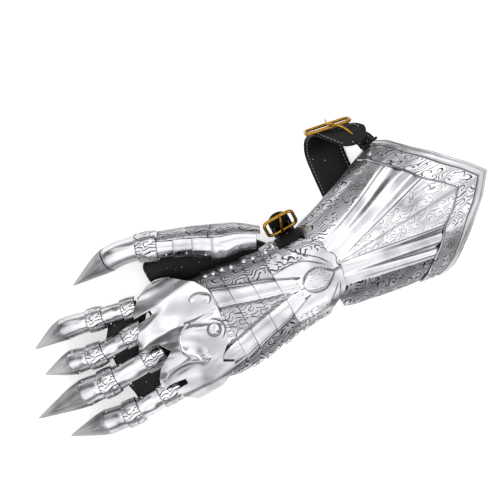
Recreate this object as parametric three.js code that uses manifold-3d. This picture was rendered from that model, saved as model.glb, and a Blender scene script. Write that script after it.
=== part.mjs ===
import * as THREE from 'three';
import { mergeVertices } from 'three/addons/utils/BufferGeometryUtils.js';
import Module from 'manifold-3d';

// Armoured gauntlet for a left hand, lying palm down. Lengths are in millimetres.
// x runs from the claws (-) to the cuff (+), y towards the thumb side, z up from the surface below.
// The working origin is under the pointed end of the wrist boss. The group is centred at the end.

// Walls and clearances
const plateWall = 1.2;
const digitWall = 1;
const plateGap = 0.4;
const gloveWall = 1.5;
const gloveGap = 0.8;
const strapWall = 2.2;
const strapGap = 0.5;

// Hand plates
const handLength = 180;
const fingerWidth = 25;
const knuckleWidth = 3.76 * fingerWidth;
const handCrown = 58;
const flankHeight = 30;
const flankLow = 16;
const flankTuck = 0.08;
const handPower = 2.5;
const lameOverlap = 5;
const ribHeight = 3.2;
const bossHeight = 3.2;
const bossLength = 30;
const bossWidth = 19.4;

// Knuckle plate
const knuckleCrown = handCrown + 5;
const knuckleBase = 24;
const knucklePower = 2.6;

// Fingers and thumb
const fingerLength = 113;
const jointLength = 14;
const jointBulge = 0.8;
const keelHeight = 0.9;
const clawTip = 0.8;
const fingerRoot = 30;
const thumbLength = 168;
const thumbWidth = 30;
const thumbHeight = 30;

// Cuff
const cuffLength = 146;
const cuffSpread = 66;
const cuffCrown = 92;
const cuffTurn = 4.2;
const cuffFlank = 30;
const cuffLow = strapWall + 2 * plateGap;
const cuffTuck = 0.1;
const ridgeHeight = 1.5;
const fluteDepth = 2.2;
const borderWidth = 25;
const borderBead = 1.6;

// Straps and buckles
const cuffStrapWidth = 34;
const cuffBuckleLength = 40;
const cuffBuckleHeight = 17;
const cuffBuckleLean = 18;
const wristStrapWidth = 19;
const wristBuckleLength = 27;
const wristBuckleHeight = 16;
const wireRadius = 1.5;
const tongueRadius = 1.2;

const steel = { color: 0xd6d6d8, roughness: 0.18, metalness: 1 };
const steelEngraved = { color: 0xb9babd, roughness: 0.32, metalness: 1 };
const leather = { color: 0x101012, roughness: 0.55, metalness: 0 };
const brass = { color: 0xc79a3a, roughness: 0.28, metalness: 1 };

const wasm = await Module();
wasm.setup();

const degree = Math.PI / 180;
const gauntlet = new THREE.Group();

// Shared helpers

function mix(a, b, t) {
  return a + (b - a) * t;
}

// Reads a table whose first column rises, and gives the other columns at a value between its rows.
function readTable(table, at) {
  const last = table.length - 1;
  if (at <= table[0][0]) return table[0].slice(1);
  if (at >= table[last][0]) return table[last].slice(1);
  const k = table.findIndex((row) => row[0] > at);
  const t = (at - table[k - 1][0]) / (table[k][0] - table[k - 1][0]);
  return table[k].slice(1).map((value, c) => mix(table[k - 1][c + 1], value, t));
}

function addMesh(name, geometry, look) {
  const mesh = new THREE.Mesh(geometry, new THREE.MeshStandardMaterial(look));
  mesh.name = name;
  gauntlet.add(mesh);
  return mesh;
}

// Turns points and triangles into a geometry whose faces point out.
function solidGeometry(points, triangles) {
  let volume = 0;
  const cross = new THREE.Vector3();
  for (const [a, b, c] of triangles) {
    volume += points[a].dot(cross.crossVectors(points[b], points[c]));
  }
  const index = volume > 0 ? triangles.flat() : triangles.flatMap(([a, b, c]) => [a, c, b]);
  const geometry = new THREE.BufferGeometry();
  geometry.setAttribute('position', new THREE.Float32BufferAttribute(points.flatMap((p) => p.toArray()), 3));
  geometry.setIndex(index);
  geometry.computeVertexNormals();
  return geometry;
}

// A curved sheet with an open edge all round: outer and inner grids joined along the four edges.
function sheetSolid(outer, inner) {
  const rows = outer.length;
  const columns = outer[0].length;
  const points = [...outer.flat(), ...inner.flat()];
  const under = rows * columns;
  const at = (i, j) => i * columns + j;
  const triangles = [];
  const quad = (a, b, c, d) => triangles.push([a, b, c], [a, c, d]);
  for (let i = 0; i < rows - 1; i++) {
    for (let j = 0; j < columns - 1; j++) {
      quad(at(i, j), at(i + 1, j), at(i + 1, j + 1), at(i, j + 1));
      quad(under + at(i, j), under + at(i, j + 1), under + at(i + 1, j + 1), under + at(i + 1, j));
    }
  }
  const edge = [];
  for (let j = 0; j < columns - 1; j++) edge.push(at(0, j));
  for (let i = 0; i < rows - 1; i++) edge.push(at(i, columns - 1));
  for (let j = columns - 1; j > 0; j--) edge.push(at(rows - 1, j));
  for (let i = rows - 1; i > 0; i--) edge.push(at(i, 0));
  edge.forEach((a, k) => {
    const b = edge[(k + 1) % edge.length];
    quad(a, b, under + b, under + a);
  });
  return solidGeometry(points, triangles);
}

// A solid through closed rings, ending in a point at each end, or joined into a loop.
function ringSolid(rings, start, end) {
  const count = rings[0].length;
  const points = rings.flat();
  const triangles = [];
  const at = (i, j) => (i % rings.length) * count + (j % count);
  const spans = start ? rings.length - 1 : rings.length;
  for (let i = 0; i < spans; i++) {
    for (let j = 0; j < count; j++) {
      triangles.push([at(i, j), at(i, j + 1), at(i + 1, j + 1)]);
      triangles.push([at(i, j), at(i + 1, j + 1), at(i + 1, j)]);
    }
  }
  if (start) {
    points.push(start, end);
    for (let j = 0; j < count; j++) {
      triangles.push([points.length - 2, at(0, j + 1), at(0, j)]);
      triangles.push([points.length - 1, at(rings.length - 1, j), at(rings.length - 1, j + 1)]);
    }
  }
  return solidGeometry(points, triangles);
}

function centreOf(ring) {
  const sum = new THREE.Vector3();
  ring.forEach((p) => sum.add(p));
  return sum.divideScalar(ring.length);
}

// Arched sections of the hand and the cuff

// A dome is a section across the hand. Its angle is 0 at the crown line and 90 at the widest point,
// positive on the thumb side; past 90 the flank turns under until flankTurn more.
const flankTurn = 25;

function domePoint(dome, angle) {
  const turn = Math.min(Math.abs(angle), 90) * degree;
  const half = angle > 0 ? dome.thumb : dome.little;
  const reach = Math.sin(turn) ** (2 / dome.power);
  const rise = Math.max(Math.cos(turn), 0) ** (2 / dome.power);
  const flank = Math.max(Math.abs(angle) - 90, 0) / flankTurn;
  const y = dome.line + Math.sign(angle) * half * reach * (1 - dome.tuck * flank * flank);
  const z = dome.mid + (dome.crown - dome.mid) * rise - (dome.mid - dome.low) * flank;
  return [y, z];
}

function domeSkin(dome, angle, lift) {
  const [y, z] = domePoint(dome, angle);
  const before = domePoint(dome, angle - 0.5);
  const after = domePoint(dome, angle + 0.5);
  const ty = after[0] - before[0];
  const tz = after[1] - before[1];
  const length = Math.hypot(ty, tz);
  return [y - (lift * tz) / length, z + (lift * ty) / length];
}

// Angle at which the dome lies a given share of its half width from the crown line.
function angleAt(dome, share) {
  return Math.asin(Math.min(Math.max(share, 0), 1) ** (dome.power / 2)) / degree;
}

// Back of the hand

// [place along the hand, crown line, thumb side, little side, crown] as shares of
// handLength (from the wrist to the claws), knuckleWidth three times, and handCrown
const handSections = [
  [-0.05, -0.051, 0.516, 0.367, 1.07],
  [0.08, -0.052, 0.5, 0.351, 1.026],
  [0.267, -0.045, 0.477, 0.387, 1],
  [0.378, -0.033, 0.484, 0.431, 0.991],
  [0.55, -0.015, 0.515, 0.489, 0.983],
  [0.61, -0.012, 0.51, 0.489, 0.97],
  [0.711, -0.011, 0.457, 0.441, 0.93],
];

function handDome(x) {
  const [line, thumb, little, crown] = readTable(handSections, -x / handLength);
  return {
    line: line * knuckleWidth,
    thumb: thumb * knuckleWidth,
    little: little * knuckleWidth,
    crown: crown * handCrown,
    mid: flankHeight,
    low: flankLow,
    tuck: flankTuck,
    power: handPower,
  };
}

// Half-round ribs: [place, middle, half width] as shares of handLength and knuckleWidth twice.
const ribSections = [
  [0.155, 0.043, 0.037],
  [0.56, 0.259, 0.097],
  [0.72, 0.3, 0.1],
];

function ribAt(x) {
  const [middle, half] = readTable(ribSections, -x / handLength);
  return { middle: middle * knuckleWidth, half: half * knuckleWidth };
}

// Columns across the hand from the thumb flank to the little flank, with the ribs' rise at each.
function handColumns(x) {
  const dome = handDome(x);
  const rib = ribAt(x);
  const grown = THREE.MathUtils.smoothstep(-x, bossLength - 4, bossLength + 5) * ribHeight;
  const oneSide = (half) => {
    const steps = [
      [1, 0],
      [0.6, 0.8],
      [0, 1],
      [-0.6, 0.8],
      [-1, 0],
    ].map(([share, rise]) => {
      const angle = angleAt(dome, (rib.middle + share * rib.half) / half);
      return { angle, rise: rise * grown };
    });
    const first = steps[0].angle;
    const flank = [90 + flankTurn, 90 + flankTurn / 2, 90, mix(first, 90, 0.7), mix(first, 90, 0.35)];
    return [...flank.map((angle) => ({ angle, rise: 0 })), ...steps];
  };
  const thumb = oneSide(dome.thumb);
  const little = oneSide(dome.little).reverse().map(({ angle, rise }) => ({ angle: -angle, rise }));
  return [...thumb, { angle: 0, rise: 0 }, ...little];
}

// A sheet over the hand: rows run from rear(column) to front(column), lifted by lift(x).
function handPlate(name, rowCount, rear, front, lift, extra, look) {
  const columnCount = handColumns(0).length;
  const grid = (under) => {
    const rows = [];
    for (let i = 0; i <= rowCount; i++) {
      const row = [];
      for (let j = 0; j < columnCount; j++) {
        const x = mix(rear(j), front(j), i / rowCount);
        const { angle, rise } = handColumns(x)[j];
        const dome = handDome(x);
        const [y] = domePoint(dome, angle);
        const [py, pz] = domeSkin(dome, angle, lift(x) + rise + extra(x, y - dome.line) - under);
        row.push(new THREE.Vector3(x, py, pz));
      }
      rows.push(row);
    }
    return rows;
  };
  return addMesh(name, sheetSolid(grid(0), grid(plateWall)), look);
}

// Teardrop boss: pointed at x = 0, round at -bossLength.
function bossRise(x, across) {
  const t = -x / bossLength;
  if (t <= 0 || t >= 1) return 0;
  const widest = 0.55;
  const behind = Math.sin(Math.min(t / widest, 1) * 90 * degree) ** 0.9;
  const ahead = Math.sqrt(1 - Math.max((t - widest) / (1 - widest), 0) ** 2);
  const half = (bossWidth / 2) * Math.min(behind, ahead);
  const s = across / half;
  return Math.abs(s) < 1 ? bossHeight * Math.sqrt(1 - s * s) : 0;
}

// Scalloped rear edge of the wrist plate: [share of the half width, place as a share of handLength],
// thumb side positive; 1.2 stands for the lower end of the flank.
const scallops = [
  [-1.2, 0.15],
  [-0.87, 0.089],
  [-0.72, 0.044],
  [-0.6, 0.011],
  [-0.48, -0.009],
  [-0.25, -0.022],
  [0, -0.03],
  [0.11, -0.022],
  [0.22, -0.033],
  [0.41, -0.006],
  [0.62, 0],
  [0.8, 0.072],
  [1.2, 0.13],
];

const wristFront = -0.267 * handLength;

function scallopedRear(j) {
  const { angle } = handColumns(0)[j];
  const dome = handDome(0);
  const half = angle > 0 ? dome.thumb : dome.little;
  const share = (domePoint(dome, angle)[0] - dome.line) / half;
  const past = Math.max(Math.abs(angle) - 90, 0) / flankTurn;
  return -readTable(scallops, share + Math.sign(angle) * 0.2 * past)[0] * handLength;
}

handPlate('wrist_plate', 7, scallopedRear, () => wristFront, () => 0, bossRise, steelEngraved);

// Lames: each starts under the piece behind it and shows its front edge over the next one.
const lameEdges = [0.267, 0.372, 0.483, 0.561, 0.711].map((share) => -share * handLength);

for (let k = 0; k < lameEdges.length - 1; k++) {
  const rear = lameEdges[k] + lameOverlap;
  const front = lameEdges[k + 1];
  const drop = (plateWall + 1.7 * plateGap) / (1 - lameOverlap / (rear - front));
  const lift = (x) => -drop * (1 - (rear - x) / (rear - front));
  const rows = k === 3 ? 3 : 2;
  handPlate(`metacarpal_lame_${k + 1}`, rows, () => rear, () => front, lift, () => 0, steelEngraved);
}

// Knuckle plate

// Columns from the thumb side to the little side:
// [rear place, rear y, front place, front y] as shares of handLength and knuckleWidth by turns.
// A pair of columns pulled back between two others makes a round-ended slit.
const knuckleColumns = [
  [0.761, 0.62, 0.828, 0.577],
  [0.7, 0.605, 0.889, 0.574],
  [0.608, 0.479, 0.936, 0.489],
  [0.57, 0.36, 0.944, 0.443],
  [0.568, 0.34, 0.856, 0.46],
  [0.567, 0.31, 0.856, 0.405],
  [0.567, 0.29, 0.933, 0.378],
  [0.569, 0.22, 0.975, 0.266],
  [0.572, 0.15, 0.994, 0.17],
  [0.575, 0.1, 0.9, 0.138],
  [0.58, 0.04, 0.861, 0.037],
  [0.583, -0.016, 0.906, -0.021],
  [0.594, -0.085, 0.944, -0.064],
  [0.617, -0.16, 0.978, -0.149],
  [0.65, -0.218, 0.989, -0.229],
  [0.656, -0.23, 0.867, -0.254],
  [0.667, -0.265, 0.867, -0.309],
  [0.672, -0.285, 0.939, -0.32],
  [0.622, -0.34, 0.917, -0.394],
  [0.672, -0.43, 0.889, -0.447],
  [0.728, -0.49, 0.861, -0.489],
  [0.756, -0.495, 0.833, -0.484],
];

// [place, crown] as shares of handLength and knuckleCrown
const knuckleCrowns = [
  [0.56, 0.975],
  [0.7, 1],
  [0.8, 0.985],
  [0.9, 0.905],
  [1, 0.77],
];

// Rounded swells (+) and hollows (-): [place, y, half length, half width, turn in degrees, rise]
// as shares of handLength, knuckleWidth, handLength, knuckleWidth, and of knuckleCrown at the end
const knuckleSwells = [
  [0.79, 0.46, 0.13, 0.13, -14, 0.045],
  [0.83, -0.03, 0.1, 0.11, 8, 0.055],
  [0.8, -0.4, 0.1, 0.09, 4, 0.035],
  [0.87, 0.12, 0.07, 0.07, 18, -0.12],
  [0.86, -0.16, 0.12, 0.045, -3, -0.065],
  [0.9, 0.39, 0.1, 0.04, -10, -0.035],
  [0.639, 0.01, 0.034, 0.066, 0, 0.055],
  [0.624, 0.32, 0.056, 0.045, -20, 0.025],
];

// Sharp crest that sweeps from the rear edge to the cusp: [place, y] as shares
const crestLine = [
  [0.575, 0.016],
  [0.65, 0.09],
  [0.74, 0.2],
  [0.86, 0.24],
  [0.99, 0.17],
];
const crestRise = 0.05 * knuckleCrown;
const crestHalf = 0.05 * knuckleWidth;

function knuckleHeight(x, y) {
  const place = -x / handLength;
  const across = y / knuckleWidth;
  const s = Math.min(Math.abs((across - 0.056) / 0.585), 1);
  const crown = readTable(knuckleCrowns, place)[0] * knuckleCrown;
  let z = knuckleBase + (crown - knuckleBase) * (1 - s ** knucklePower) ** (1 / knucklePower);
  for (const [px, py, length, width, turn, rise] of knuckleSwells) {
    const dx = (place - px) * handLength;
    const dy = (across - py) * knuckleWidth;
    const c = Math.cos(turn * degree);
    const q = Math.sin(turn * degree);
    const u = (dx * c + dy * q) / (length * handLength);
    const v = (dy * c - dx * q) / (width * knuckleWidth);
    z += rise * knuckleCrown * Math.exp(-(u * u + v * v) * 1.6);
  }
  const crestY = readTable(crestLine, place)[0] * knuckleWidth;
  const off = (y - crestY) / crestHalf;
  z += crestRise * Math.exp(-Math.abs(off) * (off < 0 ? 1.6 : 0.8));
  return z;
}

function buildKnucklePlate() {
  const rowCount = 9;
  const outer = [];
  const inner = [];
  for (let i = 0; i <= rowCount; i++) {
    const t = i / rowCount;
    const outerRow = [];
    const innerRow = [];
    knuckleColumns.forEach(([rearX, rearY, frontX, frontY], j) => {
      const flank = j === 0 || j === knuckleColumns.length - 1;
      const bow = j < 3 ? 0.045 * Math.sin(t * Math.PI) : 0;
      const x = -mix(rearX, frontX, t) * handLength;
      const y = (mix(rearY, frontY, t) + bow * (flank ? 0.5 : 1)) * knuckleWidth;
      const step = 0.4;
      const z = flank ? knuckleBase - 1 : knuckleHeight(x, y);
      const slopeX = (knuckleHeight(x + step, y) - knuckleHeight(x - step, y)) / (2 * step);
      const slopeY = (knuckleHeight(x, y + step) - knuckleHeight(x, y - step)) / (2 * step);
      const normal = new THREE.Vector3(-slopeX, -slopeY, 1).normalize();
      if (flank) normal.set(0, Math.sign(y), 0.1).normalize();
      const point = new THREE.Vector3(x, y, z);
      outerRow.push(point);
      innerRow.push(point.clone().addScaledVector(normal, -plateWall));
    });
    outer.push(outerRow);
    inner.push(innerRow);
  }
  addMesh('knuckle_plate', sheetSolid(outer, inner), steel);
}

buildKnucklePlate();

// Fingers and thumb

// Places on a digit are lengths along its centre line. The section at each is an arch around the line.
function digitFrame(digit, at) {
  const u = THREE.MathUtils.clamp(at / digit.length, 0, 1);
  const centre = digit.path.getPointAt(u);
  const along = digit.path.getTangentAt(u);
  const side = new THREE.Vector3().crossVectors(along, new THREE.Vector3(0, 0, 1)).normalize();
  const up = new THREE.Vector3().crossVectors(side, along).normalize();
  return { centre, side, up };
}

function digitPoint(digit, at, angle, radius) {
  const { centre, side, up } = digitFrame(digit, at);
  const keel = keelHeight * Math.max(0, 1 - Math.abs(angle) / 40);
  const turn = angle * degree;
  return centre
    .addScaledVector(side, radius * Math.sin(turn))
    .addScaledVector(up, radius * Math.cos(turn) + keel);
}

function digitRadius(digit, at) {
  return readTable(digit.radii, at)[0];
}

// An arched plate along a digit between two angles, lifted off the digit's base surface.
function digitPlate(name, digit, from, to, rowCount, angles, lift, look) {
  const grid = (under) => {
    const rows = [];
    for (let i = 0; i <= rowCount; i++) {
      const t = i / rowCount;
      const at = mix(from, to, t);
      const radius = digitRadius(digit, at) + lift(t) - under;
      rows.push(angles.map((angle) => digitPoint(digit, at, angle, radius)));
    }
    return rows;
  };
  return addMesh(name, sheetSolid(grid(0), grid(digitWall)), look);
}

// Long hollow claw: its neck sits inside the end lame, its collar meets the lame's edge.
function clawSolid(digit, seam) {
  const neck = digitWall + 2 * plateGap;
  const around = [...archAngles, 146, 180, 214];
  const ring = (at, radius) => around.map((angle) => digitPoint(digit, at, angle, radius));
  const collar = digitRadius(digit, seam);
  const reach = digit.length - seam;
  const taper = [
    [0, 1],
    [0.22, 0.86],
    [0.5, 0.58],
    [0.78, 0.28],
    [0.95, 0.09],
  ];
  const outer = [ring(seam - 4, collar - neck), ring(seam + 0.95, collar - neck)];
  outer.push(ring(seam + plateGap + 1, collar));
  const inner = [ring(seam - 4, collar - neck - digitWall), ring(seam + 1, collar - neck - digitWall)];
  for (const [share, size] of taper.slice(1)) {
    const at = seam + share * reach;
    outer.push(ring(at, Math.max(collar * size, clawTip)));
    if (size > 0.25) inner.push(ring(at, collar * size - 1.5 * digitWall));
  }
  const tip = digitPoint(digit, digit.length, 0, 0);
  const hollowEnd = centreOf(inner[inner.length - 1]).lerp(tip, 0.1);
  return ringSolid([...inner.reverse(), ...outer], hollowEnd, tip);
}

const archAngles = [-112, -84, -56, -28, 0, 28, 56, 84, 112];

// Finger table. Knuckle x, y, z are shares of handLength, knuckleWidth and handCrown. Then the middle
// joint, the claw's seam and its tip: how far ahead and how far aside as shares of fingerLength, and
// the height as a share of handCrown. Root is how far the knuckle joint reaches back, as a share of
// jointLength, and the widths are those at knuckle, middle joint and seam.
const fingers = [
  {
    name: 'index',
    root: 0.45,
    knuckle: [0.939, 0.53, 0.569],
    middle: [0.265, 0.05, 0.483],
    seam: [0.513, 0.095, 0.328],
    tip: [0.805, 0.058],
    widths: [0.72, 0.8, 0.8],
  },
  {
    name: 'middle',
    root: 0.96,
    knuckle: [1, 0.305, 0.595],
    middle: [0.292, -0.003, 0.517],
    seam: [0.469, 0.025, 0.362],
    tip: [0.735, 0.036],
    widths: [0.76, 0.84, 0.9],
  },
  {
    name: 'ring',
    root: 0.96,
    knuckle: [0.967, 0.032, 0.578],
    middle: [0.363, -0.002, 0.534],
    seam: [0.558, 0.008, 0.397],
    tip: [1, -0.008],
    widths: [0.96, 0.992, 1],
  },
  {
    name: 'little',
    root: 0.96,
    knuckle: [0.978, -0.314, 0.534],
    middle: [0.301, -0.01, 0.466],
    seam: [0.504, 0.01, 0.328],
    tip: [0.832, 0.041],
    widths: [0.88, 0.92, 0.9],
  },
];

const digitLift = digitWall + plateGap;

function fingerDigit(finger) {
  const [kx, ky, kz] = finger.knuckle;
  const knuckle = new THREE.Vector3(-kx * handLength, ky * knuckleWidth, kz * handCrown);
  const ahead = ([forward, aside], z) =>
    new THREE.Vector3(knuckle.x - forward * fingerLength, knuckle.y + aside * fingerLength, z);
  const middle = ahead(finger.middle, finger.middle[2] * handCrown);
  const seam = ahead(finger.seam, finger.seam[2] * handCrown);
  const tip = ahead(finger.tip, clawTip);
  const rear = knuckle.clone().lerp(middle, -fingerRoot / knuckle.distanceTo(middle));
  const path = new THREE.CatmullRomCurve3([rear, knuckle, middle, seam, tip], false, 'centripetal');
  const length = path.getLength();
  const placeOf = (target) => {
    const away = Array.from({ length: 401 }, (_, k) => path.getPointAt(k / 400).distanceTo(target));
    return (away.indexOf(Math.min(...away)) / 400) * length;
  };
  const places = [knuckle, middle, seam].map(placeOf);
  const radii = places.map((at, k) => [at, (finger.widths[k] * fingerWidth) / 2 - (k < 2 ? digitLift : 0)]);
  return { path, length, radii, places };
}

function buildFinger(finger) {
  const digit = fingerDigit(finger);
  const [knuckle, middle, seam] = digit.places;
  const half = jointLength / 2;
  const raised = (t) => digitLift + jointBulge * Math.sin(t * Math.PI);
  const flush = () => 0;
  const tuck = half - 4.5;
  const pieces = [
    ['knuckle_joint', knuckle - finger.root * jointLength, knuckle + half, 3, raised, steelEngraved],
    ['upper_lame', knuckle + tuck, middle - tuck, 3, flush, steel],
    ['middle_joint', middle - half, middle + half, 3, raised, steelEngraved],
    ['end_lame', middle + tuck, seam + 1, 3, flush, steel],
  ];
  for (const [piece, from, to, rows, lift, look] of pieces) {
    digitPlate(`${finger.name}_${piece}`, digit, from, to, rows, archAngles, lift, look);
  }
  addMesh(`${finger.name}_claw`, clawSolid(digit, seam), steel);
  return digit;
}

const fingerDigits = fingers.map(buildFinger);

// Thumb centre line: [forward of the wrist, y, height] as shares of thumbLength, knuckleWidth, thumbHeight
const thumbLine = [
  [0.25, 0.52, 1.05],
  [0.357, 0.622, 1.05],
  [0.446, 0.664, 1.03],
  [0.565, 0.78, 0.98],
  [0.726, 0.904, 0.93],
  [0.82, 0.97, 0.83],
  [0.917, 1.007, 0.7],
  [1, 1.005, 0.53],
  [1.214, 0.943, clawTip / thumbHeight],
];

function thumbDigit() {
  const points = thumbLine.map(
    ([forward, y, z]) => new THREE.Vector3(-forward * thumbLength, y * knuckleWidth, z * thumbHeight)
  );
  const path = new THREE.CatmullRomCurve3(points, false, 'centripetal');
  const length = path.getLength();
  const radii = [
    [0, 0.31],
    [0.1, 0.41],
    [0.2, 0.52],
    [0.32, 0.46],
    [0.47, 0.4],
    [0.6, 0.36],
    [0.76, 0.37],
  ].map(([share, size]) => [share * length, size * thumbWidth]);
  return { path, length, radii };
}

const thumb = thumbDigit();

// Thumb pieces: [name, from, to, rows, raised] with places as shares of the thumb's centre line
const thumbPieces = [
  ['thumb_base_plate', 0.02, 0.235, 4, 0.6, steel],
  ['thumb_lame_1', 0.205, 0.33, 2, 0, steel],
  ['thumb_lame_2', 0.3, 0.425, 2, 0, steel],
  ['thumb_lame_3', 0.395, 0.53, 2, 0, steel],
  ['thumb_joint', 0.5, 0.6, 4, 1, steelEngraved],
  ['thumb_end_lame', 0.57, 0.76, 3, 0, steel],
];
const thumbAngles = [-84, -56, -28, 0, 19];
const thumbWrap = archAngles;
const bandAngles = [22, 47, 72, 98];

for (const [name, from, to, rows, raised, look] of thumbPieces) {
  const tiled = name.startsWith('thumb_lame') || name === 'thumb_base_plate';
  const span = (to - from) * thumb.length;
  const overlap = 0.03 * thumb.length;
  const drop = (digitWall + 1.6 * plateGap) / (1 - overlap / span);
  const lift = (t) => {
    if (tiled) return name === 'thumb_base_plate' ? 0.2 : -drop * (1 - t);
    return raised ? digitLift + 0.5 * plateGap + jointBulge * Math.sin(t * Math.PI) : 0;
  };
  const angles = tiled ? thumbAngles : thumbWrap;
  digitPlate(name, thumb, from * thumb.length, to * thumb.length, rows, angles, lift, look);
}
addMesh('thumb_claw', clawSolid(thumb, 0.76 * thumb.length), steel);

// Engraved band along the outer side of the thumb, in two lengths.
const sideBands = [
  ['thumb_side_rear', 0, 0.252],
  ['thumb_side_front', 0.257, 0.495],
];
for (const [name, from, to] of sideBands) {
  digitPlate(name, thumb, from * thumb.length, to * thumb.length, 4, bandAngles, () => 0.2, steelEngraved);
}

// Cuff

const cuffX = 6.4;
const cuffY = -0.5;
const cuffCos = Math.cos(cuffTurn * degree);
const cuffSin = Math.sin(cuffTurn * degree);
const cuffRear = -0.11;

function cuffPlace(a, across, z) {
  return new THREE.Vector3(cuffX + a * cuffCos - across * cuffSin, cuffY + a * cuffSin + across * cuffCos, z);
}

// [place, thumb side, little side, crown, low edge] as shares of cuffLength, cuffSpread twice, cuffCrown,
// and of the way from flankLow to cuffLow
const cuffSections = [
  [-0.11, 0.625, 0.56, 0.617, 0],
  [-0.06, 0.66, 0.61, 0.627, 0],
  [0.023, 0.7, 0.66, 0.643, 0.2],
  [0.12, 0.756, 0.72, 0.666, 0.5],
  [0.27, 0.848, 0.797, 0.717, 0.85],
  [0.5, 1, 0.877, 0.811, 1],
  [0.62, 1.03, 0.91, 0.85, 1],
  [1, 1.1, 1, 1, 1],
];

function cuffDome(a) {
  const [thumbSide, littleSide, crown, low] = readTable(cuffSections, a / cuffLength);
  return {
    line: 0,
    thumb: thumbSide * cuffSpread,
    little: littleSide * cuffSpread,
    crown: crown * cuffCrown,
    mid: cuffFlank,
    low: mix(flankLow, cuffLow, low),
    tuck: cuffTuck,
    power: 2,
  };
}

// Pointed rear edge: [share of the half width, place as a share of cuffLength] on each side;
// 1.2 stands for the lower end of the flank
const thumbRim = [
  [0, 1],
  [0.18, 0.941],
  [0.32, 0.882],
  [0.51, 0.806],
  [0.7, 0.717],
  [0.91, 0.629],
  [1, 0.555],
  [1.2, 0.5],
];
const littleRim = [
  [0, 1],
  [0.26, 0.9],
  [0.4, 0.83],
  [0.62, 0.726],
  [0.75, 0.659],
  [0.84, 0.611],
  [0.92, 0.57],
  [1, 0.49],
  [1.2, 0.43],
];

// Columns across the cuff: the centre panel, two hollows with a soft ridge between, then the side strip.
function cuffColumns(a) {
  const dome = cuffDome(a);
  const panel = Math.max(0.23 * (a + 0.02 * cuffLength), 0.01 * cuffSpread);
  const fluteShare = THREE.MathUtils.clamp(0.44 + 0.5 * (a / cuffLength + 0.034), 0.4, 0.74);
  const depth = fluteDepth * THREE.MathUtils.clamp(0.25 + (0.9 * a) / cuffLength, 0.1, 1);
  const oneSide = (half) => {
    const edge = angleAt(dome, fluteShare);
    const inner = Math.min(angleAt(dome, panel / half), edge - 6);
    return [
      [90 + flankTurn, 0],
      [90 + flankTurn / 2, 0],
      [90, 0],
      [mix(edge, 90, 0.66), 0],
      [mix(edge, 90, 0.33), 0],
      [edge, 0],
      [mix(inner, edge, 0.75), -depth],
      [mix(inner, edge, 0.5), -0.25 * depth],
      [mix(inner, edge, 0.25), -depth],
      [inner, 0],
    ];
  };
  const thumbSide = oneSide(dome.thumb);
  const littleSide = oneSide(dome.little).reverse().map(([angle, rise]) => [-angle, rise]);
  return [...thumbSide, [0, ridgeHeight], ...littleSide];
}

function rimPlace(j) {
  let a = 0.7 * cuffLength;
  for (let k = 0; k < 8; k++) {
    const [angle] = cuffColumns(a)[j];
    const over = Math.sin(Math.min(Math.abs(angle), 90) * degree);
    const under = (0.2 * Math.max(Math.abs(angle) - 90, 0)) / flankTurn;
    a = mix(a, readTable(angle > 0 ? thumbRim : littleRim, over + under)[0] * cuffLength, 0.7);
  }
  return a;
}

function cuffSkin(a, angle, lift) {
  const [across, z] = domeSkin(cuffDome(a), angle, lift);
  return cuffPlace(a, across, z);
}

const cuffColumnCount = cuffColumns(0).length;

function buildCuffPlate() {
  const rowCount = 6;
  const grid = (under) => {
    const rows = [];
    for (let i = 0; i <= rowCount; i++) {
      const row = [];
      for (let j = 0; j < cuffColumnCount; j++) {
        const a = mix(cuffRear * cuffLength, rimPlace(j) - 0.12 * borderWidth, i / rowCount);
        const [angle, rise] = cuffColumns(a)[j];
        row.push(cuffSkin(a, angle, rise - under));
      }
      rows.push(row);
    }
    return rows;
  };
  addMesh('cuff_plate', sheetSolid(grid(0), grid(plateWall)), steel);
}

// Band over the rim: flat strip, then a rolled bead.
function buildCuffBorder() {
  const profile = [
    [0, 0, 0],
    [0.35, 0, 0],
    [0.66, 0, 0],
    [0.74, 0.85, 0],
    [0.9, 1, 0],
    [1, 0.3, 0],
  ];
  const base = plateWall + 1.4 * plateGap;
  const first = 2;
  const outer = [];
  const inner = [];
  for (const [share, bead] of profile) {
    const outerRow = [];
    const innerRow = [];
    for (let j = first + 1; j < cuffColumnCount - first; j++) {
      const rim = rimPlace(j);
      const [nearRim] = cuffColumns(rim)[j];
      const width = borderWidth * mix(1.15, 0.88, Math.abs(nearRim) / 90);
      const a = rim - width * (1 - share);
      const [angle, rise] = cuffColumns(a)[j];
      const lift = base + Math.max(rise, 0);
      outerRow.push(cuffSkin(a, angle, lift + bead * borderBead));
      innerRow.push(cuffSkin(a, angle, lift - plateWall));
    }
    outer.push(outerRow);
    inner.push(innerRow);
  }
  addMesh('cuff_border', sheetSolid(outer, inner), steelEngraved);
}

buildCuffPlate();
buildCuffBorder();

// Straps

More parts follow.
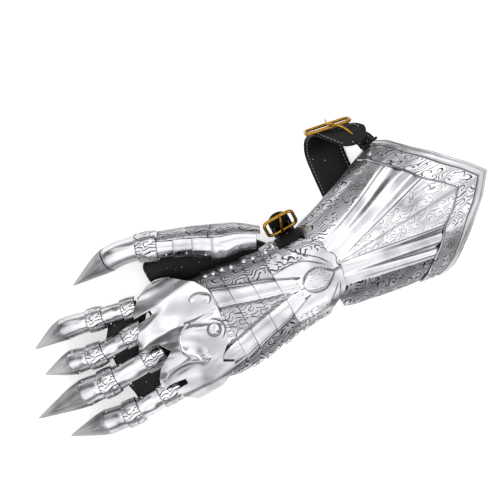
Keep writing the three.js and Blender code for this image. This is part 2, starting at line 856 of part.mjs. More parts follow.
// A flat strap through stations { centre, half }, where half points from its middle to one long edge.
function ribbonSolid(stations, wall, roundEnd) {
  const path = new THREE.CatmullRomCurve3(stations.map((s) => s.centre), false, 'centripetal');
  const steps = (stations.length - 1) * 2;
  const rings = [];
  for (let i = 0; i <= steps; i++) {
    const u = i / steps;
    const at = u * (stations.length - 1);
    const k = Math.min(Math.floor(at), stations.length - 2);
    const half = stations[k].half.clone().lerp(stations[k + 1].half, at - k);
    const centre = path.getPoint(u);
    centre.z = Math.max(centre.z, wall / 2);
    const along = path.getTangent(u);
    const normal = new THREE.Vector3().crossVectors(along, half).normalize();
    if (roundEnd && i === steps) half.multiplyScalar(0.45);
    if (roundEnd && i === steps - 1) half.multiplyScalar(0.92);
    rings.push([
      centre.clone().add(half).addScaledVector(normal, wall / 2),
      centre.clone().addScaledVector(normal, wall / 2),
      centre.clone().sub(half).addScaledVector(normal, wall / 2),
      centre.clone().sub(half).addScaledVector(normal, -wall / 2),
      centre.clone().addScaledVector(normal, -wall / 2),
      centre.clone().add(half).addScaledVector(normal, -wall / 2),
    ]);
  }
  return ringSolid(rings, centreOf(rings[0]), centreOf(rings[rings.length - 1]));
}

function wireLoop(corners, radius) {
  const sides = 8;
  const centre = centreOf(corners);
  const normal = new THREE.Vector3()
    .crossVectors(corners[1].clone().sub(corners[0]), corners[2].clone().sub(corners[1]))
    .normalize();
  const rings = corners.map((corner, k) => {
    const before = corners[(k + corners.length - 1) % corners.length];
    const after = corners[(k + 1) % corners.length];
    const along = after.clone().sub(before).normalize();
    const out = new THREE.Vector3().crossVectors(along, normal).normalize();
    if (out.dot(corner.clone().sub(centre)) < 0) out.negate();
    return Array.from({ length: sides }, (_, j) => {
      const turn = ((j + 0.5) * 2 * Math.PI) / sides;
      const outward = radius * Math.cos(turn);
      return corner.clone().addScaledVector(out, outward).addScaledVector(normal, radius * Math.sin(turn));
    });
  });
  return ringSolid(rings);
}

function wireBar(points, radius) {
  const sides = 8;
  const path = new THREE.CatmullRomCurve3(points, false, 'centripetal');
  const steps = 6;
  const rings = [];
  for (let i = 0; i <= steps; i++) {
    const along = path.getTangentAt(i / steps);
    const side = new THREE.Vector3().crossVectors(along, new THREE.Vector3(1, 0, 0)).normalize();
    const up = new THREE.Vector3().crossVectors(side, along).normalize();
    const size = i === steps ? radius * 0.5 : radius;
    const ring = [];
    for (let j = 0; j < sides; j++) {
      const turn = (j * 2 * Math.PI) / sides;
      const point = path.getPointAt(i / steps).addScaledVector(side, size * Math.cos(turn));
      ring.push(point.addScaledVector(up, size * Math.sin(turn)));
    }
    rings.push(ring);
  }
  return ringSolid(rings, centreOf(rings[0]), centreOf(rings[steps]));
}

// Rounded rectangle for a buckle's frame, around a centre, with its long and short half axes.
function frameCorners(centre, long, short) {
  const soft = 0.35;
  const marks = [
    [1, 1 - soft], [1 - soft * 0.3, 1 - soft * 0.3], [1 - soft, 1],
    [soft - 1, 1], [soft * 0.3 - 1, 1 - soft * 0.3], [-1, 1 - soft],
    [-1, soft - 1], [soft * 0.3 - 1, soft * 0.3 - 1], [soft - 1, -1],
    [1 - soft, -1], [1 - soft * 0.3, soft * 0.3 - 1], [1, soft - 1],
  ];
  const ratio = short.length() / long.length();
  return marks.map(([a, b]) => {
    const stretched = Math.sign(a) * (1 - (1 - Math.abs(a)) * ratio);
    return centre.clone().addScaledVector(long, stretched).addScaledVector(short, b);
  });
}

// Cuff strap: from the little-side wall, flat under the cuff, out past the thumb side, up and back.
// [place, across, height, half width along, half width across, half width up]: shares of cuffLength,
// cuffSpread, cuffCrown and cuffStrapWidth three times; heights count from the strap's own middle.
const cuffStrapStations = [
  [0.17, -0.57, 0.13, 0.5, 0, 0],
  [0.175, -0.552, 0.065, 0.5, -0.02, 0],
  [0.18, -0.5, 0.015, 0.5, -0.04, 0],
  [0.19, -0.42, 0, 0.5, -0.05, 0],
  [0.21, -0.1, 0, 0.5, -0.06, 0],
  [0.235, 0.35, 0, 0.5, -0.06, 0],
  [0.26, 0.8, 0, 0.5, -0.06, 0],
  [0.28, 1.08, 0.004, 0.5, -0.06, 0],
  [0.3, 1.29, 0.04, 0.5, -0.08, 0],
  [0.33, 1.43, 0.13, 0.49, -0.1, 0],
  [0.365, 1.48, 0.26, 0.48, -0.13, 0],
  [0.4, 1.45, 0.385, 0.46, -0.13, 0],
  [0.44, 1.36, 0.45, 0.42, 0, 0.02],
  [0.48, 1.25, 0.475, 0.36, 0.1, 0.04],
  [0.52, 1.15, 0.485, 0.31, 0.14, 0.05],
];

function cuffVector(along, across, up) {
  return new THREE.Vector3(along * cuffCos - across * cuffSin, along * cuffSin + across * cuffCos, up);
}

const cuffStrapPath = cuffStrapStations.map(([a, across, z, ha, hc, hz]) => ({
  centre: cuffPlace(a * cuffLength, across * cuffSpread, strapWall / 2 + z * cuffCrown),
  half: cuffVector(ha, hc, hz).multiplyScalar(cuffStrapWidth),
}));
addMesh('cuff_strap', ribbonSolid(cuffStrapPath, strapWall, true), leather);

// Short strap: it starts on the flank just below the border's thumb end and reaches to the buckle.
const strapSeat = 3 * plateGap + strapWall / 2;
const buckleStrapPath = [
  [0.54, 84],
  [0.53, 94],
].map(([place, angle]) => {
  const reach = 0.27 * cuffStrapWidth * 0.85;
  const ahead = cuffSkin(place * cuffLength + reach, angle, strapSeat);
  const behind = cuffSkin(place * cuffLength - reach, angle, strapSeat);
  return { centre: ahead.clone().lerp(behind, 0.5), half: ahead.sub(behind).multiplyScalar(0.5) };
});
for (const [a, across, z, ha, hc] of [
  [0.52, 1.13, 0.255, 0.25, 0.05],
  [0.47, 1.24, 0.27, 0.28, 0.05],
  [0.41, 1.37, 0.28, 0.34, -0.06],
]) {
  buckleStrapPath.push({
    centre: cuffPlace(a * cuffLength, across * cuffSpread, z * cuffCrown),
    half: cuffVector(ha, hc, 0).multiplyScalar(cuffStrapWidth * 0.85),
  });
}
addMesh('cuff_buckle_strap', ribbonSolid(buckleStrapPath, strapWall, false), leather);

// The buckle's frame lies on the outer face of the strap where it turns up; its tongue lies over the bars.
function buildCuffBuckle() {
  const station = cuffStrapPath[10];
  const next = cuffStrapPath[11];
  const along = next.centre.clone().sub(cuffStrapPath[9].centre).normalize();
  const long = station.half.clone().normalize();
  const short = along.clone().addScaledVector(long, -along.dot(long)).normalize();
  const out = new THREE.Vector3().crossVectors(long, short).normalize();
  if (out.y < 0) out.negate();
  const clear = strapWall / 2 + strapGap + wireRadius + 0.6;
  const centre = station.centre.clone().lerp(next.centre, 0.4).addScaledVector(out, clear);
  const lean = out.z > 0 === long.clone().cross(out).z > 0 ? -cuffBuckleLean : cuffBuckleLean;
  short.applyAxisAngle(long, lean * degree);
  out.applyAxisAngle(long, lean * degree);
  long.multiplyScalar(cuffBuckleLength / 2);
  short.multiplyScalar(cuffBuckleHeight / 2);
  addMesh('cuff_buckle_frame', wireLoop(frameCorners(centre, long, short), wireRadius), brass);
  const over = wireRadius + tongueRadius + strapGap + 0.3;
  const rest = strapWall / 2 + tongueRadius + strapGap + 0.6;
  const tongue = [
    centre.clone().addScaledVector(short, -1.1).addScaledVector(out, over + 0.4),
    centre.clone().addScaledVector(out, over + 0.7),
    centre.clone().addScaledVector(short, 1.1).addScaledVector(out, over + 0.2),
    cuffStrapPath[12].centre.clone().addScaledVector(out, over + 1.5).add(new THREE.Vector3(0, 0, over)),
    cuffStrapPath[13].centre.clone().add(new THREE.Vector3(0, 1.5, rest)),
  ];
  addMesh('cuff_buckle_tongue', wireBar(tongue, tongueRadius), brass);
}

buildCuffBuckle();

// Wrist strap: [y, height] as shares of knuckleWidth and handCrown, heights from the strap's own middle
const wristStrapPlace = -0.117 * handLength;
const wristStrapStations = [
  [-0.36, 0.36],
  [-0.345, 0.22],
  [-0.28, 0.08],
  [-0.15, 0.012],
  [0.1, 0],
  [0.3, 0.01],
  [0.41, 0.09],
  [0.46, 0.24],
  [0.475, 0.4],
  [0.487, 0.5],
  [0.53, 0.6],
  [0.65, 0.74],
];

function wristStation(y, z) {
  return {
    centre: new THREE.Vector3(wristStrapPlace, y * knuckleWidth, strapWall / 2 + z * handCrown),
    half: new THREE.Vector3(wristStrapWidth / 2, 0, 0),
  };
}

const wristStrapPath = wristStrapStations.map(([y, z]) => wristStation(y, z));
addMesh('wrist_strap', ribbonSolid(wristStrapPath, strapWall, true), leather);

function buildWristBuckle() {
  const seat = plateGap + strapWall / 2;
  const dome = handDome(wristStrapPlace);
  const path = [50, 57, 64, 70].map((angle) => {
    const [y, z] = domeSkin(dome, angle, seat);
    const half = new THREE.Vector3(wristStrapWidth * 0.62, 0, 0);
    return { centre: new THREE.Vector3(wristStrapPlace, y, z), half };
  });
  addMesh('wrist_buckle_strap', ribbonSolid(path, strapWall, false), leather);
  const [rear, front] = [wristStrapPath[10].centre, wristStrapPath[11].centre];
  const clear = strapWall / 2 + strapGap + wireRadius;
  const short = front.clone().sub(rear).normalize();
  const out = new THREE.Vector3(0, -short.z, short.y);
  const centre = rear.clone().lerp(front, 0.3).addScaledVector(out, clear);
  const long = new THREE.Vector3(wristBuckleLength / 2, 0, 0);
  short.multiplyScalar(wristBuckleHeight / 2);
  addMesh('wrist_buckle_frame', wireLoop(frameCorners(centre, long, short), wireRadius), brass);
  const over = wireRadius + tongueRadius + strapGap + 0.3;
  const tongue = [-0.9, 0, 1.15].map((share) => {
    return centre.clone().addScaledVector(short, share).addScaledVector(out, over).setX(centre.x + share * 2);
  });
  addMesh('wrist_buckle_tongue', wireBar(tongue, tongueRadius), brass);
}

buildWristBuckle();

// Glove

function toManifold(geometry) {
  geometry.deleteAttribute('normal');
  const merged = mergeVertices(geometry, 1e-4);
  const mesh = new wasm.Mesh({
    numProp: 3,
    vertProperties: new Float32Array(merged.attributes.position.array),
    triVerts: new Uint32Array(merged.index.array),
  });
  mesh.merge();
  return new wasm.Manifold(mesh);
}

function fromManifold(solid) {
  const mesh = solid.getMesh();
  const geometry = new THREE.BufferGeometry();
  const positions = new Float32Array((mesh.vertProperties.length / mesh.numProp) * 3);
  for (let k = 0; k < positions.length / 3; k++) {
    positions.set(mesh.vertProperties.subarray(k * mesh.numProp, k * mesh.numProp + 3), k * 3);
  }
  geometry.setAttribute('position', new THREE.BufferAttribute(positions, 3));
  geometry.setIndex(Array.from(mesh.triVerts));
  geometry.computeVertexNormals();
  return geometry;
}

// Palm sections: [place, y, half width, top, bottom] as shares of handLength, knuckleWidth twice and
// handCrown twice
const palmSections = [
  [-0.075, 0, 0.325, 0.86, 0.14],
  [0.06, 0, 0.33, 0.86, 0.14],
  [0.2, 0, 0.345, 0.86, 0.1],
  [0.32, -0.01, 0.37, 0.86, 0],
  [0.5, -0.02, 0.395, 0.85, 0],
  [0.72, -0.01, 0.375, 0.81, 0],
  [0.79, 0.03, 0.44, 0.77, 0.03],
  [0.87, 0.06, 0.45, 0.66, 0.1],
];

// Web between palm and thumb, under the plates' flank, and the pad under the thumb: the same columns
const webSections = [
  [0.2, 0.25, 0.15, 0.25, 0.06],
  [0.34, 0.44, 0.23, 0.25, 0.02],
  [0.5, 0.58, 0.27, 0.25, 0.012],
  [0.66, 0.66, 0.22, 0.25, 0.02],
  [0.8, 0.7, 0.12, 0.24, 0.06],
];
const padSections = [
  [0.33, 0.64, 0.07, 0.4, 0.1],
  [0.44, 0.7, 0.1, 0.4, 0.06],
  [0.56, 0.81, 0.1, 0.39, 0.06],
  [0.68, 0.9, 0.07, 0.36, 0.1],
];

function gloveLoft(sections, shrink) {
  const sides = 12;
  const last = sections.length - 1;
  const rearShift = sections === palmSections ? shrink : -shrink / 2;
  const rings = sections.map(([place, y, half, top, bottom], k) => {
    const shift = k === last ? shrink : k === 0 ? rearShift : 0;
    const x = shift - place * handLength;
    const mid = mix(bottom, top, 0.4) * handCrown;
    const above = (top - bottom) * 0.6 * handCrown - shrink;
    const below = (top - bottom) * 0.4 * handCrown - shrink;
    const wide = half * knuckleWidth - shrink;
    return Array.from({ length: sides }, (_, j) => {
      const turn = (j * 2 * Math.PI) / sides;
      const c = Math.cos(turn);
      const s = Math.sin(turn);
      return new THREE.Vector3(
        x,
        y * knuckleWidth + wide * Math.sign(s) * Math.abs(s) ** 0.75,
        mid + (c > 0 ? above : -below) * Math.abs(c) ** (c > 0 ? 0.75 : 0.35)
      );
    });
  });
  return ringSolid(rings, centreOf(rings[0]), centreOf(rings[rings.length - 1]));
}

function gloveTube(digit, from, to, inset) {
  const sides = 8;
  const steps = 4;
  const rings = [];
  for (let i = 0; i <= steps; i++) {
    const at = mix(from, to, i / steps);
    const size = i === 0 ? 0.8 : i === steps ? 0.55 : 1;
    const radius = (digitRadius(digit, at) - digitWall - gloveGap - inset) * size;
    const fuller = (angle) => 1 + 0.5 * Math.max(0, -Math.cos(angle * degree) - 0.45);
    const angles = Array.from({ length: sides }, (_, j) => (j * 360) / sides);
    rings.push(angles.map((angle) => digitPoint(digit, at, angle, radius * fuller(angle))));
  }
  return ringSolid(rings, centreOf(rings[0]), centreOf(rings[steps]));
}

// Side pieces of the fingers: a strip of leather from one finger to the next, under the plates' edges.
function fingerWeb(upper, lower) {
  const corner = (digit, at, angle, size) => {
    const radius = (digitRadius(digit, at) - digitWall - gloveGap) * size;
    return digitPoint(digit, at, angle, radius);
  };
  const rings = [0.15, 0.45, 0.75].map((share) => {
    const [one, other] = [upper, lower].map((digit) => mix(0, digit.places[1], share + 0.1));
    return [
      corner(upper, one, -138, 1.06),
      corner(lower, other, 138, 1.06),
      corner(lower, other, 160, 0.98),
      corner(upper, one, -160, 0.98),
    ];
  });
  return ringSolid(rings, centreOf(rings[0]), centreOf(rings[2]));
}

function gloveBody(shrink) {
  let body = toManifold(gloveLoft(palmSections, shrink));
  body = body.add(toManifold(gloveLoft(webSections, shrink))).add(toManifold(gloveLoft(padSections, shrink)));
  for (const digit of fingerDigits) {
    const [, , seam] = digit.places;
    body = body.add(toManifold(gloveTube(digit, 0, seam - shrink, shrink)));
  }
  const thumbTo = 0.74 * thumb.length - shrink;
  body = body.add(toManifold(gloveTube(thumb, 0.08 * thumb.length, thumbTo, shrink + 1.8 * digitLift)));
  if (shrink > 0) return body;
  for (let k = 1; k < fingerDigits.length; k++) {
    body = body.add(toManifold(fingerWeb(fingerDigits[k - 1], fingerDigits[k])));
  }
  return body;
}

addMesh('glove', fromManifold(gloveBody(0).subtract(gloveBody(gloveWall))), leather);

// Placing: centred over the resting surface

const box = new THREE.Box3().setFromObject(gauntlet);
const centre = box.getCenter(new THREE.Vector3());
gauntlet.position.set(-centre.x, -centre.y, -box.min.z);

export default gauntlet;
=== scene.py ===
import math
import bpy
import numpy as np
from mathutils import Matrix, Vector


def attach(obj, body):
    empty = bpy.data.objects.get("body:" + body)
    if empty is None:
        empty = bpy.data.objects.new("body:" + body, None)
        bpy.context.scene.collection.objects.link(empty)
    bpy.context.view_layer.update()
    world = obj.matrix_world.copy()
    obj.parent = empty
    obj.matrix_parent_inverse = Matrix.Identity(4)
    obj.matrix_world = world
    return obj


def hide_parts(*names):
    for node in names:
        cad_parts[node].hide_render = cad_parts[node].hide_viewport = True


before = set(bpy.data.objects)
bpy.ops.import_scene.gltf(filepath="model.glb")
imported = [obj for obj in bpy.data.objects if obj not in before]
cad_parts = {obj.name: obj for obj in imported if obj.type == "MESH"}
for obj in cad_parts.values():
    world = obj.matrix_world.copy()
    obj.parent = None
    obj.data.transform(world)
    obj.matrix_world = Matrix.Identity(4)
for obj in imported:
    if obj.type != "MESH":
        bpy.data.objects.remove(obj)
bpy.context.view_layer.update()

# Everything is worked out in millimetres from the pointed end of the wrist boss,
# x towards the cuff, y towards the thumb, z up, and moved to the frame's origin at the end.
gauntlet = {
    "shift": (67.71, -27.08, 0.0),
    "plate": 1.2,        # steel on hand and cuff
    "digitPlate": 1.0,   # steel on fingers and thumb
    "gap": 0.4,
    "strap": 2.2,        # belt leather
}
shift = np.array(gauntlet["shift"])


# Curves and tables

def mix(a, b, t):
    return a + (b - a) * t


def readTable(rows, at):
    # smooth through the rows, and held at both ends; the columns come back one by one
    rows = np.asarray(rows, float)
    x, y = rows[:, 0], rows[:, 1:]
    slope = np.gradient(y, x, axis=0)
    at = np.clip(np.asarray(at, float), x[0], x[-1])
    k = np.clip(np.searchsorted(x, at, side="right") - 1, 0, len(x) - 2)
    h = x[k + 1] - x[k]
    t = ((at - x[k]) / h)[..., None]
    h = h[..., None]
    value = ((1 + 2 * t) * (1 - t) ** 2 * y[k] + t * (1 - t) ** 2 * h * slope[k]
             + t * t * (3 - 2 * t) * y[k + 1] + t * t * (t - 1) * h * slope[k + 1])
    return [value[..., c] for c in range(y.shape[1])]


def readStraight(rows, at):
    rows = np.asarray(rows, float)
    return np.interp(at, rows[:, 0], rows[:, 1])


def smoothstep(x, low, high):
    t = np.clip((x - low) / (high - low), 0, 1)
    return t * t * (3 - 2 * t)


def curveThrough(points, samples=500):
    # centripetal curve through points, with its length at each sample
    points = np.asarray(points, float)
    last = len(points) - 1
    found = []
    for s in range(samples + 1):
        p = last * s / samples
        k = min(int(p), last - 1)
        w = p - k
        p1, p2 = points[k], points[k + 1]
        p0 = points[k - 1] if k > 0 else 2 * p1 - p2
        p3 = points[k + 2] if k + 2 <= last else 2 * p2 - p1
        d0, d1, d2 = (max(math.sqrt(np.linalg.norm(b - a)), 1e-3) for a, b in ((p0, p1), (p1, p2), (p2, p3)))
        t1 = d1 * ((p1 - p0) / d0 - (p2 - p0) / (d0 + d1) + (p2 - p1) / d1)
        t2 = d1 * ((p2 - p1) / d1 - (p3 - p1) / (d1 + d2) + (p3 - p2) / d2)
        found.append(p1 + t1 * w + (3 * p2 - 3 * p1 - 2 * t1 - t2) * w * w + (2 * p1 - 2 * p2 + t1 + t2) * w ** 3)
    found = np.array(found)
    lengths = np.concatenate([[0], np.cumsum(np.linalg.norm(np.diff(found, axis=0), axis=1))])
    return found, lengths


def alongCurve(curve, at):
    found, lengths = curve
    at = np.asarray(at, float)
    point = np.stack([np.interp(at, lengths, found[:, c]) for c in range(3)], -1)
    ahead = np.stack([np.interp(at + 0.6, lengths, found[:, c]) for c in range(3)], -1)
    behind = np.stack([np.interp(at - 0.6, lengths, found[:, c]) for c in range(3)], -1)
    along = ahead - behind
    return point, along / np.linalg.norm(along, axis=-1, keepdims=True)


def unit(v):
    return v / np.maximum(np.linalg.norm(v, axis=-1, keepdims=True), 1e-9)


# Materials

def linearColor(code):
    value = code.lstrip("#")
    parts = [int(value[k:k + 2], 16) / 255 for k in (0, 2, 4)]
    return tuple(p / 12.92 if p <= 0.04045 else ((p + 0.055) / 1.055) ** 2.4 for p in parts) + (1.0,)


def addNode(tree, kind, inputs=None, **settings):
    node = tree.nodes.new(kind)
    for key, value in settings.items():
        setattr(node, key, value)
    for key, value in (inputs or {}).items():
        if isinstance(value, bpy.types.NodeSocket):
            tree.links.new(value, node.inputs[key])
        else:
            node.inputs[key].default_value = value
    return node


def startMaterial(name):
    material = bpy.data.materials.new(name)
    material.use_nodes = True
    material.node_tree.nodes.clear()
    return material, material.node_tree


def endMaterial(tree, inputs):
    shader = addNode(tree, "ShaderNodeBsdfPrincipled", inputs)
    addNode(tree, "ShaderNodeOutputMaterial", {"Surface": shader.outputs[0]})


# Mirror-polished mild steel with etched scrollwork. The polish gives sharp reflections of a white room,
# the etching leaves fine black lines, and on some strips a blackened ground with bright scrolls on it.
steelLook = {
    "steel": "#c8c8cb",
    "etched": "#88888c",
    "line": "#19191b",
    "ground": "#252527",
    "cell": 11.0,        # mm from one volute to the next
    "leaf": 4.6,         # mm between leaf strokes
    "polish": 0.17,
    "wave": 30.0,        # mm, slow waviness left by the hammer
    "cloud": 34.0,       # mm across a patch of tarnish
}


def etchedSteel(name, look):
    material, tree = startMaterial(name)
    uv = addNode(tree, "ShaderNodeUVMap", uv_map="surface").outputs[0]
    place = addNode(tree, "ShaderNodeTexCoord").outputs["Object"]
    etch = addNode(tree, "ShaderNodeAttribute", attribute_name="etch").outputs["Fac"]
    ground = addNode(tree, "ShaderNodeAttribute", attribute_name="ground").outputs["Fac"]
    seam = addNode(tree, "ShaderNodeAttribute", attribute_name="seam").outputs["Fac"]
    slow = addNode(tree, "ShaderNodeTexNoise", {"Vector": uv, "Scale": 1 / 13, "Detail": 1.0}, noise_dimensions="2D")
    bend = addNode(tree, "ShaderNodeVectorMath", {0: slow.outputs["Color"], 1: (0.5, 0.5, 0.5)}, operation="SUBTRACT")
    pushed = addNode(tree, "ShaderNodeVectorMath", {0: bend.outputs[0], 1: (10.0, 10.0, 0.0), 2: uv},
                     operation="MULTIPLY_ADD")
    scaled = addNode(tree, "ShaderNodeVectorMath", {0: pushed.outputs[0], 1: (1 / look["cell"],) * 2 + (0.0,)},
                     operation="MULTIPLY")
    cells = addNode(tree, "ShaderNodeTexVoronoi", {"Vector": scaled.outputs[0], "Scale": 1.0, "Randomness": 0.75},
                    voronoi_dimensions="2D")
    offset = addNode(tree, "ShaderNodeVectorMath", {0: scaled.outputs[0], 1: cells.outputs["Position"]},
                     operation="SUBTRACT")
    axes = addNode(tree, "ShaderNodeSeparateXYZ", {0: offset.outputs[0]})
    turn = addNode(tree, "ShaderNodeMath", {0: axes.outputs[1], 1: axes.outputs[0]}, operation="ARCTAN2")
    shade = addNode(tree, "ShaderNodeSeparateColor", {0: cells.outputs["Color"]})
    hand = addNode(tree, "ShaderNodeMath", {0: shade.outputs[0], 1: 0.5}, operation="GREATER_THAN")
    side = addNode(tree, "ShaderNodeMath", {0: hand.outputs[0], 1: 2.0, 2: -1.0}, operation="MULTIPLY_ADD")
    share = addNode(tree, "ShaderNodeMath", {0: turn.outputs[0], 1: 1 / math.tau}, operation="MULTIPLY")
    handed = addNode(tree, "ShaderNodeMath", {0: share.outputs[0], 1: side.outputs[0]}, operation="MULTIPLY")
    spiral = addNode(tree, "ShaderNodeMath", {0: cells.outputs["Distance"], 1: 2.5, 2: handed.outputs[0]},
                     operation="MULTIPLY_ADD")
    coil = addNode(tree, "ShaderNodeMath", {0: spiral.outputs[0]}, operation="FRACT")
    coilOff = addNode(tree, "ShaderNodeMath", {0: coil.outputs[0], 1: 0.5}, operation="SUBTRACT")
    coilLine = addNode(tree, "ShaderNodeMath", {0: coilOff.outputs[0]}, operation="ABSOLUTE")
    leaf = addNode(tree, "ShaderNodeTexWave",
                   {"Vector": pushed.outputs[0], "Scale": 0.314 / look["leaf"], "Distortion": 7.0, "Detail": 1.2,
                    "Detail Scale": 0.55},
                   wave_type="BANDS", bands_direction="Y", wave_profile="SIN")
    leafOff = addNode(tree, "ShaderNodeMath", {0: leaf.outputs["Fac"], 1: 0.5}, operation="SUBTRACT")
    leafAway = addNode(tree, "ShaderNodeMath", {0: leafOff.outputs[0]}, operation="ABSOLUTE")
    leafLine = addNode(tree, "ShaderNodeMath", {0: leafAway.outputs[0], 1: 0.5}, operation="MULTIPLY")
    inside = addNode(tree, "ShaderNodeMapRange",
                     {0: cells.outputs["Distance"], 1: 0.36, 2: 0.42, 3: 0.0, 4: 1.0})
    either = addNode(tree, "ShaderNodeMix", {0: inside.outputs[0], 2: coilLine.outputs[0], 3: leafLine.outputs[0]})
    line = addNode(tree, "ShaderNodeMapRange", {0: either.outputs[0], 1: 0.055, 2: 0.115, 3: 1.0, 4: 0.0})
    drawn = addNode(tree, "ShaderNodeMath", {0: line.outputs[0], 1: etch}, operation="MULTIPLY")
    # between the scrolls the ground is eaten away and blackened
    open_ = addNode(tree, "ShaderNodeMapRange", {0: either.outputs[0], 1: 0.13, 2: 0.18, 3: 1.0, 4: 0.0})
    sunk = addNode(tree, "ShaderNodeMath", {0: open_.outputs[0], 1: ground}, operation="MULTIPLY")
    # the seam mark brings dark lines and, on some plates, painted shade; both take the line colour
    linesAndShade = addNode(tree, "ShaderNodeMath", {0: drawn.outputs[0], 1: seam}, operation="MAXIMUM")
    deep = addNode(tree, "ShaderNodeMath", {0: linesAndShade.outputs[0], 1: sunk.outputs[0]}, operation="MAXIMUM")
    # slow patches of tarnish over the polish
    cloud = addNode(tree, "ShaderNodeTexNoise", {"Vector": place, "Scale": 1000 / look["cloud"], "Detail": 2.5})
    tarnish = addNode(tree, "ShaderNodeMapRange", {0: cloud.outputs["Fac"], 1: 0.48, 2: 0.68, 3: 0.0, 4: 0.75})
    wearAndShade = addNode(tree, "ShaderNodeMath", {0: tarnish.outputs[0], 1: ground}, operation="MAXIMUM")
    dullAndShaded = addNode(tree, "ShaderNodeMix", {0: wearAndShade.outputs[0], 6: linearColor(look["steel"]), 7: linearColor(look["etched"])},
                   data_type="RGBA")
    tone = addNode(tree, "ShaderNodeMix", {0: sunk.outputs[0], 6: dullAndShaded.outputs[2],
                                           7: linearColor(look["ground"])}, data_type="RGBA")
    color = addNode(tree, "ShaderNodeMix", {0: linesAndShade.outputs[0], 6: tone.outputs[2], 7: linearColor(look["line"])},
                    data_type="RGBA")
    haze = addNode(tree, "ShaderNodeTexNoise", {"Vector": place, "Scale": 90.0, "Detail": 4.0})
    smear = addNode(tree, "ShaderNodeMapRange",
                    {0: haze.outputs["Fac"], 1: 0.35, 2: 0.75, 3: look["polish"], 4: look["polish"] + 0.09})
    etchedRough = addNode(tree, "ShaderNodeMath", {0: ground, 1: 0.16, 2: smear.outputs[0]}, operation="MULTIPLY_ADD")
    rough = addNode(tree, "ShaderNodeMath", {0: deep.outputs[0], 1: 0.4, 2: etchedRough.outputs[0]},
                    operation="MULTIPLY_ADD", use_clamp=True)
    wave = addNode(tree, "ShaderNodeTexNoise", {"Vector": place, "Scale": 1000 / look["wave"], "Detail": 1.5})
    hammered = addNode(tree, "ShaderNodeBump", {"Strength": 0.22, "Distance": 0.0011, "Height": wave.outputs["Fac"]})
    cut = addNode(tree, "ShaderNodeBump", {"Strength": 0.7, "Distance": 0.0003, "Height": deep.outputs[0],
                                           "Normal": hammered.outputs[0]}, invert=True)
    endMaterial(tree, {"Base Color": color.outputs[2], "Metallic": 1.0, "Roughness": rough.outputs[0],
                       "Normal": cut.outputs[0]})
    return material


steel = etchedSteel("mirrorPolishedEtchedSteel", steelLook)

# Cast and polished yellow brass: warm, bright, slightly soft in its reflections.
brassLook = {"metal": "#bd9038", "wearAndShade": "#6c4c14", "polish": 0.2}


def polishedBrass(look):
    material, tree = startMaterial("polishedBrass")
    place = addNode(tree, "ShaderNodeTexCoord").outputs["Object"]
    patch = addNode(tree, "ShaderNodeTexNoise", {"Vector": place, "Scale": 260.0, "Detail": 3.0})
    color = addNode(tree, "ShaderNodeMix", {0: patch.outputs["Fac"], 6: linearColor(look["metal"]),
                                            7: linearColor(look["wearAndShade"])}, data_type="RGBA")
    rough = addNode(tree, "ShaderNodeMapRange", {0: patch.outputs["Fac"], 3: look["polish"], 4: 0.34})
    bump = addNode(tree, "ShaderNodeBump", {"Strength": 0.15, "Distance": 0.0002, "Height": patch.outputs["Fac"]})
    endMaterial(tree, {"Base Color": color.outputs[2], "Metallic": 1.0, "Roughness": rough.outputs[0],
                       "Normal": bump.outputs[0]})
    return material


brass = polishedBrass(brassLook)

# Drum-dyed black cowhide, lightly finished: fine pebble grain of about 1 mm, soft sheen, and specks of dust.
hideLook = {"dye": "#030304", "rub": "#0b0b0d", "dust": "#b9bcc2", "grain": 1.1, "speck": 3.0}


def blackHide(name, look, dusty):
    material, tree = startMaterial(name)
    place = addNode(tree, "ShaderNodeTexCoord").outputs["Object"]
    grain = addNode(tree, "ShaderNodeTexVoronoi", {"Vector": place, "Scale": 1000 / look["grain"]},
                    feature="SMOOTH_F1")
    patch = addNode(tree, "ShaderNodeTexNoise", {"Vector": place, "Scale": 70.0, "Detail": 5.0, "Roughness": 0.65})
    rubbed = addNode(tree, "ShaderNodeMapRange", {0: patch.outputs["Fac"], 1: 0.5, 2: 0.75, 3: 0.0, 4: 0.55})
    tone = addNode(tree, "ShaderNodeMix", {0: rubbed.outputs[0], 6: linearColor(look["dye"]),
                                           7: linearColor(look["rub"])}, data_type="RGBA")
    specks = addNode(tree, "ShaderNodeTexVoronoi", {"Vector": place, "Scale": 1000 / look["speck"]})
    near = addNode(tree, "ShaderNodeMapRange", {0: specks.outputs["Distance"], 1: 0.1, 2: 0.17, 3: 1.0, 4: 0.0})
    pick = addNode(tree, "ShaderNodeSeparateColor", {0: specks.outputs["Color"]})
    some = addNode(tree, "ShaderNodeMath", {0: pick.outputs[0], 1: 1 - dusty}, operation="GREATER_THAN")
    speck = addNode(tree, "ShaderNodeMath", {0: near.outputs[0], 1: some.outputs[0]}, operation="MULTIPLY")
    color = addNode(tree, "ShaderNodeMix", {0: speck.outputs[0], 6: tone.outputs[2], 7: linearColor(look["dust"])},
                    data_type="RGBA")
    rough = addNode(tree, "ShaderNodeMapRange", {0: patch.outputs["Fac"], 3: 0.26, 4: 0.6})
    bump = addNode(tree, "ShaderNodeBump", {"Strength": 0.4, "Distance": 0.00025, "Height": grain.outputs["Distance"]})
    endMaterial(tree, {"Base Color": color.outputs[2], "Roughness": rough.outputs[0], "IOR": 1.5,
                       "Specular IOR Level": 0.2, "Normal": bump.outputs[0]})
    return material


gloveHide = blackHide("blackGloveHide", hideLook, 0.22)
beltHide = blackHide("blackBeltHide", hideLook, 0.05)

# Waxed grey linen thread, twisted: a soft mid grey with a fine diagonal twist.
threadLook = {"thread": "#77797e", "twist": 0.5}


